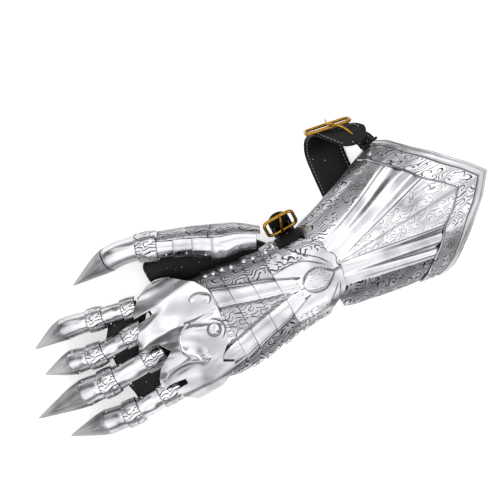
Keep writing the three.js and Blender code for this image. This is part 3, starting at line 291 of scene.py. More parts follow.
def linenThread(look):
    material, tree = startMaterial("waxedLinenThread")
    place = addNode(tree, "ShaderNodeTexCoord").outputs["Object"]
    twist = addNode(tree, "ShaderNodeTexWave", {"Vector": place, "Scale": 314 / look["twist"]},
                    bands_direction="DIAGONAL")
    bump = addNode(tree, "ShaderNodeBump", {"Strength": 0.4, "Distance": 0.0001, "Height": twist.outputs["Fac"]})
    endMaterial(tree, {"Base Color": linearColor(look["thread"]), "Roughness": 0.7, "Normal": bump.outputs[0]})
    return material


thread = linenThread(threadLook)
print("materials ready")


# Sheets of steel and how they become meshes

def toFrame(points):
    return (points + shift) / 1000


def finishMesh(name, verts, faces, material, nodes, uv=None, marks=None, sharp=48):
    mesh = bpy.data.meshes.new(name)
    mesh.from_pydata(toFrame(verts).tolist(), [], faces)
    mesh.update()
    if uv is not None:
        layer = mesh.uv_layers.new(name="surface")
        loops = np.empty(len(mesh.loops), np.int32)
        mesh.loops.foreach_get("vertex_index", loops)
        layer.data.foreach_set("uv", uv[loops].astype(np.float32).ravel())
    for title, values in (marks or {}).items():
        mesh.attributes.new(title, "FLOAT", "POINT").data.foreach_set("value", values.astype(np.float32))
    mesh.shade_smooth()
    mesh.set_sharp_from_angle(angle=math.radians(sharp))
    mesh.materials.append(material)
    piece = bpy.data.objects.new(name, mesh)
    bpy.context.scene.collection.objects.link(piece)
    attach(piece, "root")
    if nodes:
        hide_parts(*nodes)
    return piece


def sheet(name, outer, inner, nodes, marks=None, lip=0.35, sharp=48):
    # outer and inner grids joined by a rounded rim; marks hold the engraving's strength on the outer one, and on some
    # plates painted shade as well
    rows, cols = outer.shape[:2]
    count = rows * cols
    at = np.arange(count).reshape(rows, cols)
    rim = np.concatenate([at[0, :-1], at[:-1, -1], at[-1, :0:-1], at[:0:-1, 0]])
    i, j = np.divmod(rim, cols)
    inward = at[np.clip(i, 1, rows - 2), np.clip(j, 1, cols - 2)]
    flatOuter, flatInner = outer.reshape(-1, 3), inner.reshape(-1, 3)
    wall = np.linalg.norm(flatOuter - flatInner, axis=1).mean()
    out = unit(flatOuter[rim] - flatOuter[inward])
    edge = (flatOuter[rim] + flatInner[rim]) / 2 + out * lip * wall
    verts = np.concatenate([flatOuter, flatInner, edge])
    a, b, c, d = at[:-1, :-1].ravel(), at[1:, :-1].ravel(), at[1:, 1:].ravel(), at[:-1, 1:].ravel()
    k = np.arange(len(rim))
    after = (k + 1) % len(rim)
    faces = np.concatenate([
        np.stack([a, b, c, d], 1),
        np.stack([a, d, c, b], 1) + count,
        np.stack([rim, rim[after], 2 * count + after, 2 * count + k], 1),
        np.stack([2 * count + k, 2 * count + after, count + rim[after], count + rim], 1),
    ])
    v = verts[faces]
    volume = (np.einsum("ij,ij->i", v[:, 0], np.cross(v[:, 1], v[:, 2]))
              + np.einsum("ij,ij->i", v[:, 0], np.cross(v[:, 2], v[:, 3]))).sum()
    if volume < 0:
        faces = faces[:, ::-1]
    across = np.concatenate([np.zeros((rows, 1)), np.cumsum(np.linalg.norm(np.diff(outer, axis=1), axis=2), 1)], 1)
    across -= across[:, cols // 2][:, None]
    down = np.concatenate([np.zeros((1, cols)), np.cumsum(np.linalg.norm(np.diff(outer, axis=0), axis=2), 0)], 0)
    uv = np.stack([down.ravel(), across.ravel()], 1)
    uv = np.concatenate([uv, uv, uv[rim]])
    filled = {}
    for title in ("etch", "ground", "seam"):
        drawn = np.broadcast_to((marks or {}).get(title, 0.0), (rows, cols)).ravel()
        filled[title] = np.concatenate([drawn, np.zeros(count + len(rim))])
    return finishMesh(name, verts, faces.tolist(), steel, nodes, uv, filled, sharp)


def ringBody(name, rings, material, nodes, closed=False, sharp=60, marks=None):
    # a solid through closed rings (steps, around, 3), shut at both ends or joined into a loop
    steps, around = rings.shape[:2]
    at = np.arange(steps * around).reshape(steps, around)
    if closed:
        at = np.concatenate([at, at[:1]])
    a, b = at[:-1].ravel(), at[1:].ravel()
    c, d = np.roll(at[1:], -1, 1).ravel(), np.roll(at[:-1], -1, 1).ravel()
    faces = np.stack([a, b, c, d], 1).tolist()
    verts = rings.reshape(-1, 3)
    if not closed:
        verts = np.concatenate([verts, rings[0].mean(0)[None], rings[-1].mean(0)[None]])
        first, last = steps * around, steps * around + 1
        for k in range(around):
            n = (k + 1) % around
            faces.append([first, k, n])
            faces.append([last, (steps - 1) * around + n, (steps - 1) * around + k])
    volume = 0.0
    for f in faces:
        for m in range(1, len(f) - 1):
            volume += np.dot(verts[f[0]], np.cross(verts[f[m]], verts[f[m + 1]]))
    if volume < 0:
        faces = [f[::-1] for f in faces]
    along = np.concatenate([[0], np.cumsum(np.linalg.norm(np.diff(rings.mean(1), axis=0), axis=1))])
    girth = np.concatenate([np.zeros((steps, 1)), np.cumsum(np.linalg.norm(np.diff(rings, axis=1), axis=2), 1)], 1)
    uv = np.stack([np.repeat(along, around), girth.ravel()], 1)
    if not closed:
        uv = np.concatenate([uv, uv[:1], uv[-1:]])
    return finishMesh(name, verts, faces, material, nodes, uv, marks, sharp)


# Arched sections: an angle of 0 is the crown line and 90 the widest point, thumb side positive

hand = {
    "length": 180, "finger": 25, "width": 3.76 * 25, "crown": 58, "flank": 30, "low": 16, "tuck": 0.08,
    "power": 2.5, "overlap": 5, "rib": 3.2, "turn": 25,
    "sections": [(-0.05, -0.051, 0.516, 0.367, 1.07), (0.08, -0.052, 0.5, 0.351, 1.026),
                 (0.267, -0.045, 0.477, 0.387, 1), (0.378, -0.033, 0.484, 0.431, 0.991),
                 (0.55, -0.015, 0.515, 0.489, 0.983), (0.61, -0.012, 0.51, 0.489, 0.97),
                 (0.711, -0.011, 0.457, 0.441, 0.93)],
    "ribs": [(0.155, 0.045, 0.052), (0.2, 0.062, 0.07), (0.277, 0.108, 0.088), (0.42, 0.184, 0.096),
             (0.56, 0.259, 0.1), (0.72, 0.3, 0.1)],
    "scallops": [(-1.2, 0.15), (-0.87, 0.089), (-0.72, 0.044), (-0.6, 0.011), (-0.48, -0.009), (-0.25, -0.022),
                 (0, -0.03), (0.11, -0.022), (0.22, -0.033), (0.41, -0.006), (0.62, 0), (0.8, 0.072), (1.2, 0.13)],
    "lames": [0.267, 0.372, 0.483, 0.561, 0.711],
}
boss = {"height": 3.2, "length": 30, "width": 19.4, "petal": 0.95}


def domePoint(dome, angle):
    turn = np.radians(np.minimum(np.abs(angle), 90))
    half = np.where(angle > 0, dome["thumb"], dome["little"])
    reach = np.sin(turn) ** (2 / dome["power"])
    rise = np.maximum(np.cos(turn), 0) ** (2 / dome["power"])
    flank = np.maximum(np.abs(angle) - 90, 0) / hand["turn"]
    y = dome["line"] + np.sign(angle) * half * reach * (1 - dome["tuck"] * flank * flank)
    z = dome["mid"] + (dome["crown"] - dome["mid"]) * rise - (dome["mid"] - dome["low"]) * flank
    return y, z


def domeSkin(dome, angle, lift):
    y, z = domePoint(dome, angle)
    y0, z0 = domePoint(dome, angle - 0.5)
    y1, z1 = domePoint(dome, angle + 0.5)
    ty, tz = y1 - y0, z1 - z0
    length = np.hypot(ty, tz)
    return y - lift * tz / length, z + lift * ty / length


def handDome(x):
    line, thumb, little, crown = readTable(hand["sections"], -x / hand["length"])
    wide = hand["width"]
    return {"line": line * wide, "thumb": thumb * wide, "little": little * wide, "crown": crown * hand["crown"],
            "mid": hand["flank"], "low": hand["low"], "tuck": hand["tuck"], "power": hand["power"]}


def ribRise(x, across):
    middle, half = (v * hand["width"] for v in readTable(hand["ribs"], -x / hand["length"]))
    s = (np.abs(across) - middle) / half
    grown = smoothstep(-x, boss["length"] - 6, boss["length"] + 5) * hand["rib"]
    return grown * np.sqrt(np.clip(1 - s * s, 0, 1)), s


# Petals: step ridges that sweep from the boss's point, as (distance from it, turn from the hand's line)
petalLines = [[(0, 75), (10, 62), (15, 56), (30, 46), (51, 27), (70, 20)],
              [(0, 84), (10, 76), (15, 71), (30, 57), (51, 52), (70, 50)]]


def petalRise(x, y):
    r = np.hypot(x, y)
    turn = np.degrees(np.arctan2(np.abs(y), -x))
    rise = np.zeros_like(r)
    seam = np.zeros_like(r)
    for line in petalLines:
        edge = readTable(line, r)[0]
        off = (edge - turn) * np.radians(1) * r
        grown = smoothstep(r, 3, 14)
        rise += boss["petal"] * np.exp(-np.maximum(off, 0) / 5.5) * smoothstep(off, -0.5, 0.1) * grown
        seam = np.maximum(seam, np.exp(-((off + 0.4) / 0.45) ** 2) * grown)
    return rise, seam


def bossRise(x, across):
    t = np.clip(-x / boss["length"], 0, 1)
    behind = np.sin(np.minimum(t / 0.55, 1) * math.pi / 2) ** 0.9
    ahead = np.sqrt(np.clip(1 - np.maximum((t - 0.55) / 0.45, 0) ** 2, 0, 1))
    half = np.maximum(boss["width"] / 2 * np.minimum(behind, ahead), 1e-3)
    s = np.clip(across / half, -1, 1)
    return boss["height"] * np.sqrt(1 - s * s), np.abs(across) / half


def handSheet(name, rear, front, lift, extra, marks, rows, columns=181):
    angle = np.linspace(90 + hand["turn"], -90 - hand["turn"], columns)
    t = np.linspace(0, 1, rows)[:, None]
    x = mix(rear(angle)[None, :], front(angle)[None, :], t)
    angle = np.broadcast_to(angle, x.shape)
    dome = handDome(x)
    y, _ = domePoint(dome, angle)
    across = y - dome["line"]
    high = lift(x) + extra(x, across, angle)
    grids = []
    for under in (0, gauntlet["plate"]):
        py, pz = domeSkin(dome, angle, high - under)
        grids.append(np.stack([x, py, pz], -1))
    return sheet(name, grids[0], grids[1], [name], marks(x, across, angle))


def scallopedRear(angle):
    dome = handDome(np.zeros_like(angle))
    half = np.where(angle > 0, dome["thumb"], dome["little"])
    share = (domePoint(dome, angle)[0] - dome["line"]) / half
    past = np.maximum(np.abs(angle) - 90, 0) / hand["turn"]
    return -readTable(hand["scallops"], share + np.sign(angle) * 0.2 * past)[0] * hand["length"]


def wristExtra(x, across, angle):
    dropRise, away = bossRise(x, across)
    petals, _ = petalRise(x - 1, across + 2)
    rib, _ = ribRise(x, across)
    return np.maximum(dropRise, petals + rib)


def wristMarks(x, across, angle):
    _, s = ribRise(x, across)
    _, away = bossRise(x, across)
    plain = smoothstep(np.abs(across), 19, 22)
    etch = np.maximum(plain, 0.35 * (away < 1))
    ribbed = (np.abs(s) < 1.05) & (-x > boss["length"] - 6)
    _, seam = petalRise(x - 1, across + 2)
    outline = np.exp(-((away - 1.06) / 0.07) ** 2) * (x < 0) * (-x < boss["length"] + 1)
    ring = 0.6 * np.exp(-((away - 0.72) / 0.05) ** 2) * (x < -4) * (-x < boss["length"] - 5)
    return {"etch": np.where(ribbed, 0, etch), "ground": 0.8 * smoothstep(-across, 26, 32) + 0.5 * smoothstep(across, 20, 26),
            "seam": np.maximum(np.maximum(seam * (away > 1), outline), ring)}


def flat(value):
    return lambda angle: np.full(angle.shape, float(value))


handSheet("wrist_plate", scallopedRear, flat(-hand["lames"][0] * hand["length"]), lambda x: 0 * x,
          wristExtra, wristMarks, 110, 221)


def lameMarks(x, across, angle):
    _, s = ribRise(x, across)
    inside = s < -1.1
    outside = s > 1.15
    strip = smoothstep(np.abs(angle), 60, 62)
    etch = np.where(inside, 0.9, np.where(outside, 0.5 + 0.5 * strip, 0))
    seam = np.exp(-((np.abs(s) - 1.08) * 9) ** 2) + 0.8 * np.exp(-((np.abs(angle) - 61) / 0.8) ** 2)
    return {"etch": np.where(outside, 1.0, etch), "ground": np.where(angle > 0, 0.6, 0.8) * outside,
            "seam": np.minimum(seam, 1) * 0.85}


for k in range(4):
    rear = -hand["lames"][k] * hand["length"] + hand["overlap"]
    front = -hand["lames"][k + 1] * hand["length"]
    drop = (gauntlet["plate"] + 1.7 * gauntlet["gap"]) / (1 - hand["overlap"] / (rear - front))
    handSheet(f"metacarpal_lame_{k + 1}", flat(rear), flat(front),
              lambda x, rear=rear, front=front, drop=drop: -drop * (1 - (rear - x) / (rear - front)),
              lambda x, across, angle: ribRise(x, across)[0], lameMarks, 26)
print("wrist plate and lames ready")

# Knuckle plate: rear place, rear y, front place, front y for each column across it
knuckle = {
    "crown": 63, "base": 24, "power": 2.6,
    "columns": [(0.761, 0.62, 0.828, 0.577), (0.7, 0.605, 0.889, 0.574), (0.608, 0.479, 0.936, 0.489),
                (0.57, 0.36, 0.944, 0.443), (0.568, 0.34, 0.856, 0.46), (0.567, 0.31, 0.856, 0.405),
                (0.567, 0.29, 0.933, 0.378), (0.569, 0.22, 0.975, 0.266), (0.572, 0.15, 0.994, 0.17),
                (0.575, 0.1, 0.9, 0.138), (0.58, 0.04, 0.861, 0.037), (0.583, -0.016, 0.906, -0.021),
                (0.594, -0.085, 0.944, -0.064), (0.617, -0.16, 0.978, -0.149), (0.65, -0.218, 0.989, -0.229),
                (0.656, -0.23, 0.867, -0.254), (0.667, -0.265, 0.867, -0.309), (0.672, -0.285, 0.939, -0.32),
                (0.622, -0.34, 0.917, -0.394), (0.672, -0.43, 0.889, -0.447), (0.728, -0.49, 0.861, -0.489),
                (0.756, -0.495, 0.833, -0.484)],
    "crowns": [(0.56, 0.975), (0.7, 1), (0.8, 0.985), (0.9, 0.905), (1, 0.77)],
    # place, y, half length, half width, turn, rise
    "swells": [(0.79, 0.46, 0.13, 0.13, -14, 0.045), (0.83, -0.03, 0.1, 0.11, 8, 0.055),
               (0.8, -0.4, 0.1, 0.09, 4, 0.035), (0.87, 0.12, 0.07, 0.07, 18, -0.12),
               (0.86, -0.16, 0.12, 0.045, -3, -0.065), (0.9, 0.39, 0.1, 0.04, -10, -0.035),
               (0.639, 0.01, 0.034, 0.066, 0, 0.02), (0.7, -0.1, 0.06, 0.1, 0, -0.025)],
    # crests as (place, y), their rise, and their widths towards the thumb and towards the little finger
    "crests": [([(0.575, 0.03), (0.657, 0.115), (0.733, 0.184), (0.794, 0.209), (0.877, 0.204), (0.942, 0.191),
                 (1.0, 0.16)], 3.8, 9.0, 3.2),
               ([(0.735, -0.19), (0.789, -0.149), (0.864, -0.122), (0.96, -0.18)], 2.8, 6.5, 2.2)],
    # the crest across the plate as (y, place), its rise, and its widths to the rear and to the front
    "across": ([(-0.2, 0.748), (-0.12, 0.768), (-0.047, 0.8), (0.006, 0.813), (0.067, 0.808), (0.124, 0.788),
                (0.163, 0.763), (0.184, 0.739)], 3.2, 7.5, 2.2),
    # darker patches of painted reflection as x, y, half length, half width, turn
    "dullAndShaded": [(-129, 30, 24, 8, -25), (-122, -9, 15, 9, -29), (-140, 49, 20, 4, 8), (-150, -31, 18, 6, -20)],
}


def softAbs(value):
    return np.sqrt(value * value + 0.16) - 0.4


def crestLine(rows, along):
    # where a line of (along, across) rows lies, its slope, and 1 along it fading to 0 past its ends
    rows = [tuple(row) for row in rows]
    ahead, behind = (readTable(rows, along + step)[0] for step in (0.004, -0.004))
    shown = smoothstep(along, rows[0][0] - 0.03, rows[0][0] + 0.03)
    shown = shown * smoothstep(-along, -rows[-1][0] - 0.03, -rows[-1][0] + 0.03)
    return (ahead + behind) / 2, (ahead - behind) / 0.008, shown


def ovalPlace(x, y):
    dx, dy = x + 112.7, y - 29.8
    turn = math.radians(-20)
    return (dx * math.cos(turn) + dy * math.sin(turn)) / 9.5, (dy * math.cos(turn) - dx * math.sin(turn)) / 5.8


def knuckleHeight(x, y):
    place, across = -x / hand["length"], y / hand["width"]
    s = np.minimum(np.abs((across - 0.056) / 0.585), 1)
    crown = readTable(knuckle["crowns"], place)[0] * knuckle["crown"]
    z = knuckle["base"] + (crown - knuckle["base"]) * (1 - s ** knuckle["power"]) ** (1 / knuckle["power"])
    for px, py, length, width, turn, rise in knuckle["swells"]:
        dx, dy = (place - px) * hand["length"], (across - py) * hand["width"]
        c, q = math.cos(math.radians(turn)), math.sin(math.radians(turn))
        u, v = (dx * c + dy * q) / (length * hand["length"]), (dy * c - dx * q) / (width * hand["width"])
        z = z + rise * knuckle["crown"] * np.exp(-(u * u + v * v) * 1.6)
    for line, rise, thumbward, littleward in knuckle["crests"]:
        middle, slope, shown = crestLine(line, place)
        away = (across - middle) * hand["width"] / np.sqrt(1 + (slope * hand["width"] / hand["length"]) ** 2)
        z = z + rise * shown * np.exp(-softAbs(away) / np.where(away > 0, thumbward, littleward))
    line, rise, rearward, frontward = knuckle["across"]
    middle, slope, shown = crestLine(line, across)
    away = (middle - place) * hand["length"] / np.sqrt(1 + (slope * hand["length"] / hand["width"]) ** 2)
    z = z + rise * shown * np.exp(-softAbs(away) / np.where(away > 0, rearward, frontward))
    # oval boss by the thumb, and a round one by the rear edge with a ring round it
    u, v = ovalPlace(x, y)
    z = z + 1.7 * np.sqrt(np.clip(1 - u * u - v * v, 0, 1))
    r = np.hypot(x + 114.2, y - 1.5)
    z = z + 2.0 * np.sqrt(np.clip(1 - (r / 5.6) ** 2, 0, 1)) + 0.7 * np.exp(-((r - 8.2) / 1.0) ** 2) * smoothstep(x, -114, -108)
    return z


def knuckleSeam(x, y):
    # dark lines round the two bosses and the ring
    r = np.hypot(x + 114.2, y - 1.5)
    seam = 0.9 * np.exp(-((r - 6.0) / 0.5) ** 2) + 0.7 * np.exp(-((r - 9.8) / 0.45) ** 2) * smoothstep(x, -115, -110)
    u, v = ovalPlace(x, y)
    return np.minimum(seam + 0.8 * np.exp(-((np.hypot(u, v) - 1.04) / 0.07) ** 2) * smoothstep(u + v, -0.6, 0.5), 1)


def knuckleShade(x, y):
    # painted shade in the two hollows before the crests, and patches of darker painted reflection where the plate turns
    # flat
    place, across = -x / hand["length"], y / hand["width"]
    ahead = (place - crestLine(knuckle["across"][0], across)[0]) * hand["length"]
    shade = 0 * x
    for (line, _, _, _), reach, front in zip(knuckle["crests"], (13, 6), (ahead, ahead + 60)):
        middle, _, shown = crestLine(line, place)
        below = (middle - across) * hand["width"]
        shade = np.maximum(shade, shown * smoothstep(below, 0.2, 1.8) * smoothstep(front, 0.2, 2) * np.exp(-below / reach))
    for px, py, length, width, turn in knuckle["dullAndShaded"]:
        c, q = math.cos(math.radians(turn)), math.sin(math.radians(turn))
        u, v = ((x - px) * c + (y - py) * q) / length, ((y - py) * c - (x - px) * q) / width
        shade = np.maximum(shade, 0.42 * np.exp(-(u * u + v * v) ** 1.5))
    # both painted marks go out in the seam mark with the dark lines round the bosses
    return {"seam": np.maximum(knuckleSeam(x, y), 0.85 * shade)}


def buildKnucklePlate():
    rows, fine = 121, 9
    table = np.array(knuckle["columns"])
    steps = np.linspace(0, len(table) - 1, (len(table) - 1) * fine + 1)
    rearX, rearY, frontX, frontY = (np.interp(steps, np.arange(len(table)), table[:, c]) for c in range(4))
    t = np.linspace(0, 1, rows)[:, None]
    bow = 0.045 * np.sin(t * math.pi) * np.clip(1.5 - steps / 4, 0, 1)[None, :] * np.where(steps < 1, 0.5 + 0.5 * steps, 1)
    x = -mix(rearX, frontX, t) * hand["length"]
    y = (mix(rearY, frontY, t) + bow) * hand["width"]
    z = knuckleHeight(x, y)
    down = np.minimum(np.clip(1 - steps, 0, 1) + np.clip(steps - (len(table) - 2), 0, 1), 1) ** 0.7
    z = mix(z, knuckle["base"] - 1, down)
    outer = np.stack([x, y, z], -1)
    du = np.gradient(outer, axis=0)
    dv = np.gradient(outer, axis=1)
    normal = unit(np.cross(du, dv))
    normal *= np.where(normal[..., 2:] < 0, -1, 1)
    for _ in range(3):
        normal[:, 1:-1] = unit(normal[:, :-2] + normal[:, 1:-1] * 2 + normal[:, 2:])
    inner = outer - normal * gauntlet["plate"]
    sheet("knuckle_plate", outer, inner, ["knuckle_plate"], knuckleShade(x, y))


buildKnucklePlate()
print("knuckle plate ready")

# Fingers and thumb: places are lengths along each one's centre line

digits = {
    "reach": 113, "joint": 14, "bulge": 0.8, "keel": 0.9, "tip": 0.8, "root": 30,
    "wrap": 112,
    # knuckle x, y, z; middle joint, seam and tip ahead of it and aside; reach back of the first joint; widths
    "fingers": {
        "index": ((0.939, 0.53, 0.569), (0.265, 0.05, 0.483), (0.513, 0.095, 0.328), (0.805, 0.058), 0.45,
                  (0.72, 0.8, 0.8)),
        "middle": ((1, 0.305, 0.595), (0.292, -0.003, 0.517), (0.469, 0.025, 0.362), (0.735, 0.036), 0.96,
                   (0.76, 0.84, 0.9)),
        "ring": ((0.967, 0.032, 0.578), (0.363, -0.002, 0.534), (0.558, 0.008, 0.397), (1, -0.008), 0.96,
                 (0.96, 0.992, 1)),
        "little": ((0.978, -0.314, 0.534), (0.301, -0.01, 0.466), (0.504, 0.01, 0.328), (0.832, 0.041), 0.96,
                   (0.88, 0.92, 0.9)),
    },
    "taper": [(0, 1), (0.22, 0.86), (0.5, 0.58), (0.78, 0.28), (0.95, 0.09)],
}
thumbLook = {
    "length": 168, "width": 30, "height": 30,
    "line": [(0.25, 0.52, 1.05), (0.357, 0.622, 1.05), (0.446, 0.664, 1.03), (0.565, 0.78, 0.98),
             (0.726, 0.904, 0.93), (0.82, 0.97, 0.83), (0.917, 1.007, 0.7), (1, 1.005, 0.53),
             (1.214, 0.943, 0.8 / 30)],
    "radii": [(0, 0.31), (0.1, 0.41), (0.2, 0.52), (0.32, 0.46), (0.47, 0.4), (0.6, 0.36), (0.76, 0.37)],
}
digitLift = gauntlet["digitPlate"] + gauntlet["gap"]


def digitPoint(digit, at, angle, radius):
    at, angle, radius = np.broadcast_arrays(np.asarray(at, float), np.asarray(angle, float), radius)
    centre, along = alongCurve(digit["curve"], at)
    side = unit(np.cross(along, [0, 0, 1.0]))
    up = unit(np.cross(side, along))
    keel = digits["keel"] * np.exp(-(np.abs(angle) / 22) ** 1.5)
    turn = np.radians(angle)[..., None]
    return centre + side * (radius[..., None] * np.sin(turn)) + up * (radius[..., None] * np.cos(turn) + keel[..., None])


def digitRadius(digit, at):
    return readTable(digit["radii"], at)[0]


def digitSheet(name, digit, start, end, angles, lift, etch, ground=0.0, rows=25, columns=65):
    angle = np.linspace(angles[0], angles[1], columns)[None, :]
    t = np.linspace(0, 1, rows)[:, None]
    at = mix(start, end, t)
    angle, t, at = np.broadcast_arrays(angle, t, at)
    radius = digitRadius(digit, at) + lift(t, angle)
    outer = digitPoint(digit, at, angle, radius)
    inner = digitPoint(digit, at, angle, radius - gauntlet["digitPlate"])
    # each lame is painted a little darker down its sides and along the edge that slides under the next one: painted
    # shade
    wearAndShade = 0.3 * smoothstep(np.abs(angle), 45, 85) + 0.35 * smoothstep(t, 0.9, 0.98)
    marks = {"etch": etch(t, angle) if callable(etch) else float(etch), "ground": float(ground), "seam": wearAndShade}
    return sheet(name, outer, inner, [name], marks, 0.3)


def clawSheet(name, digit, seam):
    wall = gauntlet["digitPlate"]
    neck = wall + 2 * gauntlet["gap"]
    angle = np.linspace(0, 360, 64, endpoint=False)
    collar = float(digitRadius(digit, seam))
    reach = digit["length"] - seam
    # a faint facet on each side of the ridge, as the real claws are folded from sheet
    folded = 1 - 0.035 * np.cos(np.radians(angle) * 3) ** 2
    ring = lambda at, radius: digitPoint(digit, at, angle, radius * folded)
    rings = [ring(seam - 4, collar - neck), ring(seam + 0.95, collar - neck), ring(seam + gauntlet["gap"] + 1, collar)]
    for share in np.linspace(0.04, 0.985, 26):
        size = float(readTable(digits["taper"] + [(1, 0.03)], share)[0])
        rings.append(ring(seam + share * reach, max(collar * size, digits["tip"] * (1.4 - share))))
    rings = [ring(seam - 4, collar - neck - wall)] + rings
    # the claws are painted darker all over and darker still down their sides: painted shade
    side = 0.3 + 0.3 * np.abs(np.sin(np.radians(angle)))
    clawShade = np.concatenate([np.tile(side, len(rings)), side[:1], side[:1]])
    return ringBody(name, np.array(rings), steel, [name], sharp=50, marks={"seam": clawShade})


def fingerDigit(look):
    (kx, ky, kz), (mf, ma, mz), (sf, sa, sz), (tf, ta), root, widths = look
    reach = digits["reach"]
    start = np.array([-kx * hand["length"], ky * hand["width"], kz * hand["crown"]])
    middle = np.array([start[0] - mf * reach, start[1] + ma * reach, mz * hand["crown"]])
    seam = np.array([start[0] - sf * reach, start[1] + sa * reach, sz * hand["crown"]])
    tip = np.array([start[0] - tf * reach, start[1] + ta * reach, digits["tip"]])
    rear = start + (start - middle) * digits["root"] / np.linalg.norm(start - middle)
    curve = curveThrough([rear, start, middle, seam, tip])
    places = [float(curve[1][np.argmin(np.linalg.norm(curve[0] - p, axis=1))]) for p in (start, middle, seam)]
    radii = [(at, w * hand["finger"] / 2 - (digitLift if k < 2 else 0)) for k, (at, w) in enumerate(zip(places, widths))]
    return {"curve": curve, "length": float(curve[1][-1]), "radii": radii, "places": places, "root": root}


def raisedLift(t, angle):
    # a joint plate is a shallow barrel with a narrow bead along its front and rear edge
    bead = 0.25 * (np.exp(-((t - 0.06) / 0.05) ** 2) + np.exp(-((t - 0.94) / 0.05) ** 2))
    return digitLift + digits["bulge"] * np.sin(t * math.pi) + bead


def lameLift(t, angle):
    # beaten up into a leaf towards the next joint, with a soft hollow behind it
    leaf = 0.75 * np.exp(-((t - 0.72) / 0.17) ** 2) * np.exp(-(angle / 40) ** 2)
    hollow = 0.5 * np.exp(-((t - 0.36) / 0.16) ** 2) * np.exp(-((np.abs(angle) - 32) / 26) ** 2)
    return leaf - hollow


def endLift(t, angle):
    return 0.5 * np.exp(-((t - 0.3) / 0.16) ** 2) * np.exp(-(angle / 34) ** 2) + 0.0 * t


fingerRivets = []    # place and outward direction of each rivet on the fingers


def rivetOn(digit, at, angle, high=0.0):
    radius = float(digitRadius(digit, at)) + high
    point = digitPoint(digit, at, angle, np.float64(radius))
    beyond = digitPoint(digit, at, angle, np.float64(radius + 1))
    return point, unit(beyond - point)


builtDigits = {}
for finger, look in digits["fingers"].items():
    digit = fingerDigit(look)
    builtDigits[finger] = digit
    first, middle, seam = digit["places"]
    half = digits["joint"] / 2
    tuck = half - 4.5
    wrap = (-digits["wrap"], digits["wrap"])
    digitSheet(f"{finger}_knuckle_joint", digit, first - digit["root"] * digits["joint"], first + half, wrap,
               raisedLift, 1.0)
    digitSheet(f"{finger}_upper_lame", digit, first + tuck, middle - tuck, wrap, lameLift, 0.0)
    digitSheet(f"{finger}_middle_joint", digit, middle - half, middle + half, wrap, raisedLift, 1.0)
    digitSheet(f"{finger}_end_lame", digit, middle + tuck, seam + 1, wrap, endLift, 0.0)
    clawSheet(f"{finger}_claw", digit, seam)
    for angle in (-62, 62):
        fingerRivets.append(rivetOn(digit, seam - 3.2, angle))
        fingerRivets.append(rivetOn(digit, mix(first, middle, 0.62), angle))
print("fingers ready")


def thumbDigit():
    points = [(-f * thumbLook["length"], y * hand["width"], z * thumbLook["height"]) for f, y, z in thumbLook["line"]]
    curve = curveThrough(points)
    length = float(curve[1][-1])
    radii = [(share * length, size * thumbLook["width"]) for share, size in thumbLook["radii"]]
    return {"curve": curve, "length": length, "radii": radii}


thumb = thumbDigit()
lameDrop = gauntlet["digitPlate"] + 1.6 * gauntlet["gap"]


def thumbTile(name, start, end):
    drop = lameDrop / (1 - 0.03 / (end - start))
    digitSheet(name, thumb, start * thumb["length"], end * thumb["length"], (-84, 19),
               lambda t, angle: -drop * (1 - t), lambda t, angle: 0.25 * (np.abs(t - 0.9) < 0.06), rows=25, columns=49)


digitSheet("thumb_base_plate", thumb, 0.02 * thumb["length"], 0.235 * thumb["length"], (-84, 19),
           lambda t, angle: 0.2 + 0 * t, 0.0, rows=41, columns=49)
for k, (start, end) in enumerate(((0.205, 0.33), (0.3, 0.425), (0.395, 0.53))):
    thumbTile(f"thumb_lame_{k + 1}", start, end)
digitSheet("thumb_joint", thumb, 0.5 * thumb["length"], 0.6 * thumb["length"], (-112, 112),
           lambda t, angle: raisedLift(t, angle) + 0.5 * gauntlet["gap"], 1.0)
digitSheet("thumb_end_lame", thumb, 0.57 * thumb["length"], 0.76 * thumb["length"], (-112, 112),
           lambda t, angle: 0.4 * np.exp(-((t - 0.3) / 0.2) ** 2) * np.exp(-(angle / 34) ** 2), 0.0, rows=33)
clawSheet("thumb_claw", thumb, 0.76 * thumb["length"])
for name, start, end in (("thumb_side_rear", 0.0, 0.252), ("thumb_side_front", 0.257, 0.495)):
    digitSheet(name, thumb, start * thumb["length"], end * thumb["length"], (22, 98),
               lambda t, angle: 0.2 + 0.25 * (np.exp(-((angle - 25) / 4) ** 2) + np.exp(-((angle - 95) / 4) ** 2)),
               lambda t, angle: 1.0 * ((angle > 30) & (angle < 90)), 0.35, rows=41, columns=49)
for at, angle in ((0.12, -40), (0.26, -42), (0.36, -40), (0.46, -42)):
    fingerRivets.append(rivetOn(thumb, at * thumb["length"], angle))
print("thumb ready")

# Cuff: a panel, two hollows with a soft ridge between, and a side strip, on each side of a ridge

cuff = {
    "length": 146, "spread": 66, "crown": 92, "turn": 4.2, "flank": 30, "tuck": 0.1, "ridge": 1.5, "flute": 2.2,
    "border": 25, "bead": 1.6, "x": 6.4, "y": -0.5, "rear": -0.11, "low": 3.0,
    "sections": [(-0.11, 0.625, 0.56, 0.617, 0), (-0.06, 0.66, 0.61, 0.627, 0), (0.023, 0.7, 0.66, 0.643, 0.2),
                 (0.12, 0.756, 0.72, 0.666, 0.5), (0.27, 0.848, 0.797, 0.717, 0.85), (0.5, 1, 0.877, 0.811, 1),
                 (0.62, 1.03, 0.91, 0.85, 1), (1, 1.1, 1, 1, 1)],
    "thumbRim": [(0, 1), (0.18, 0.941), (0.32, 0.882), (0.51, 0.806), (0.7, 0.717), (0.91, 0.629), (1, 0.555),
                 (1.2, 0.5)],
    "littleRim": [(0, 1), (0.26, 0.9), (0.4, 0.83), (0.62, 0.726), (0.75, 0.659), (0.84, 0.611), (0.92, 0.57),
                  (1, 0.49), (1.2, 0.43)],
}
cuffCos, cuffSin = math.cos(math.radians(cuff["turn"])), math.sin(math.radians(cuff["turn"]))


def cuffPlace(a, across, z):
    return np.stack([cuff["x"] + a * cuffCos - across * cuffSin, cuff["y"] + a * cuffSin + across * cuffCos, z], -1)


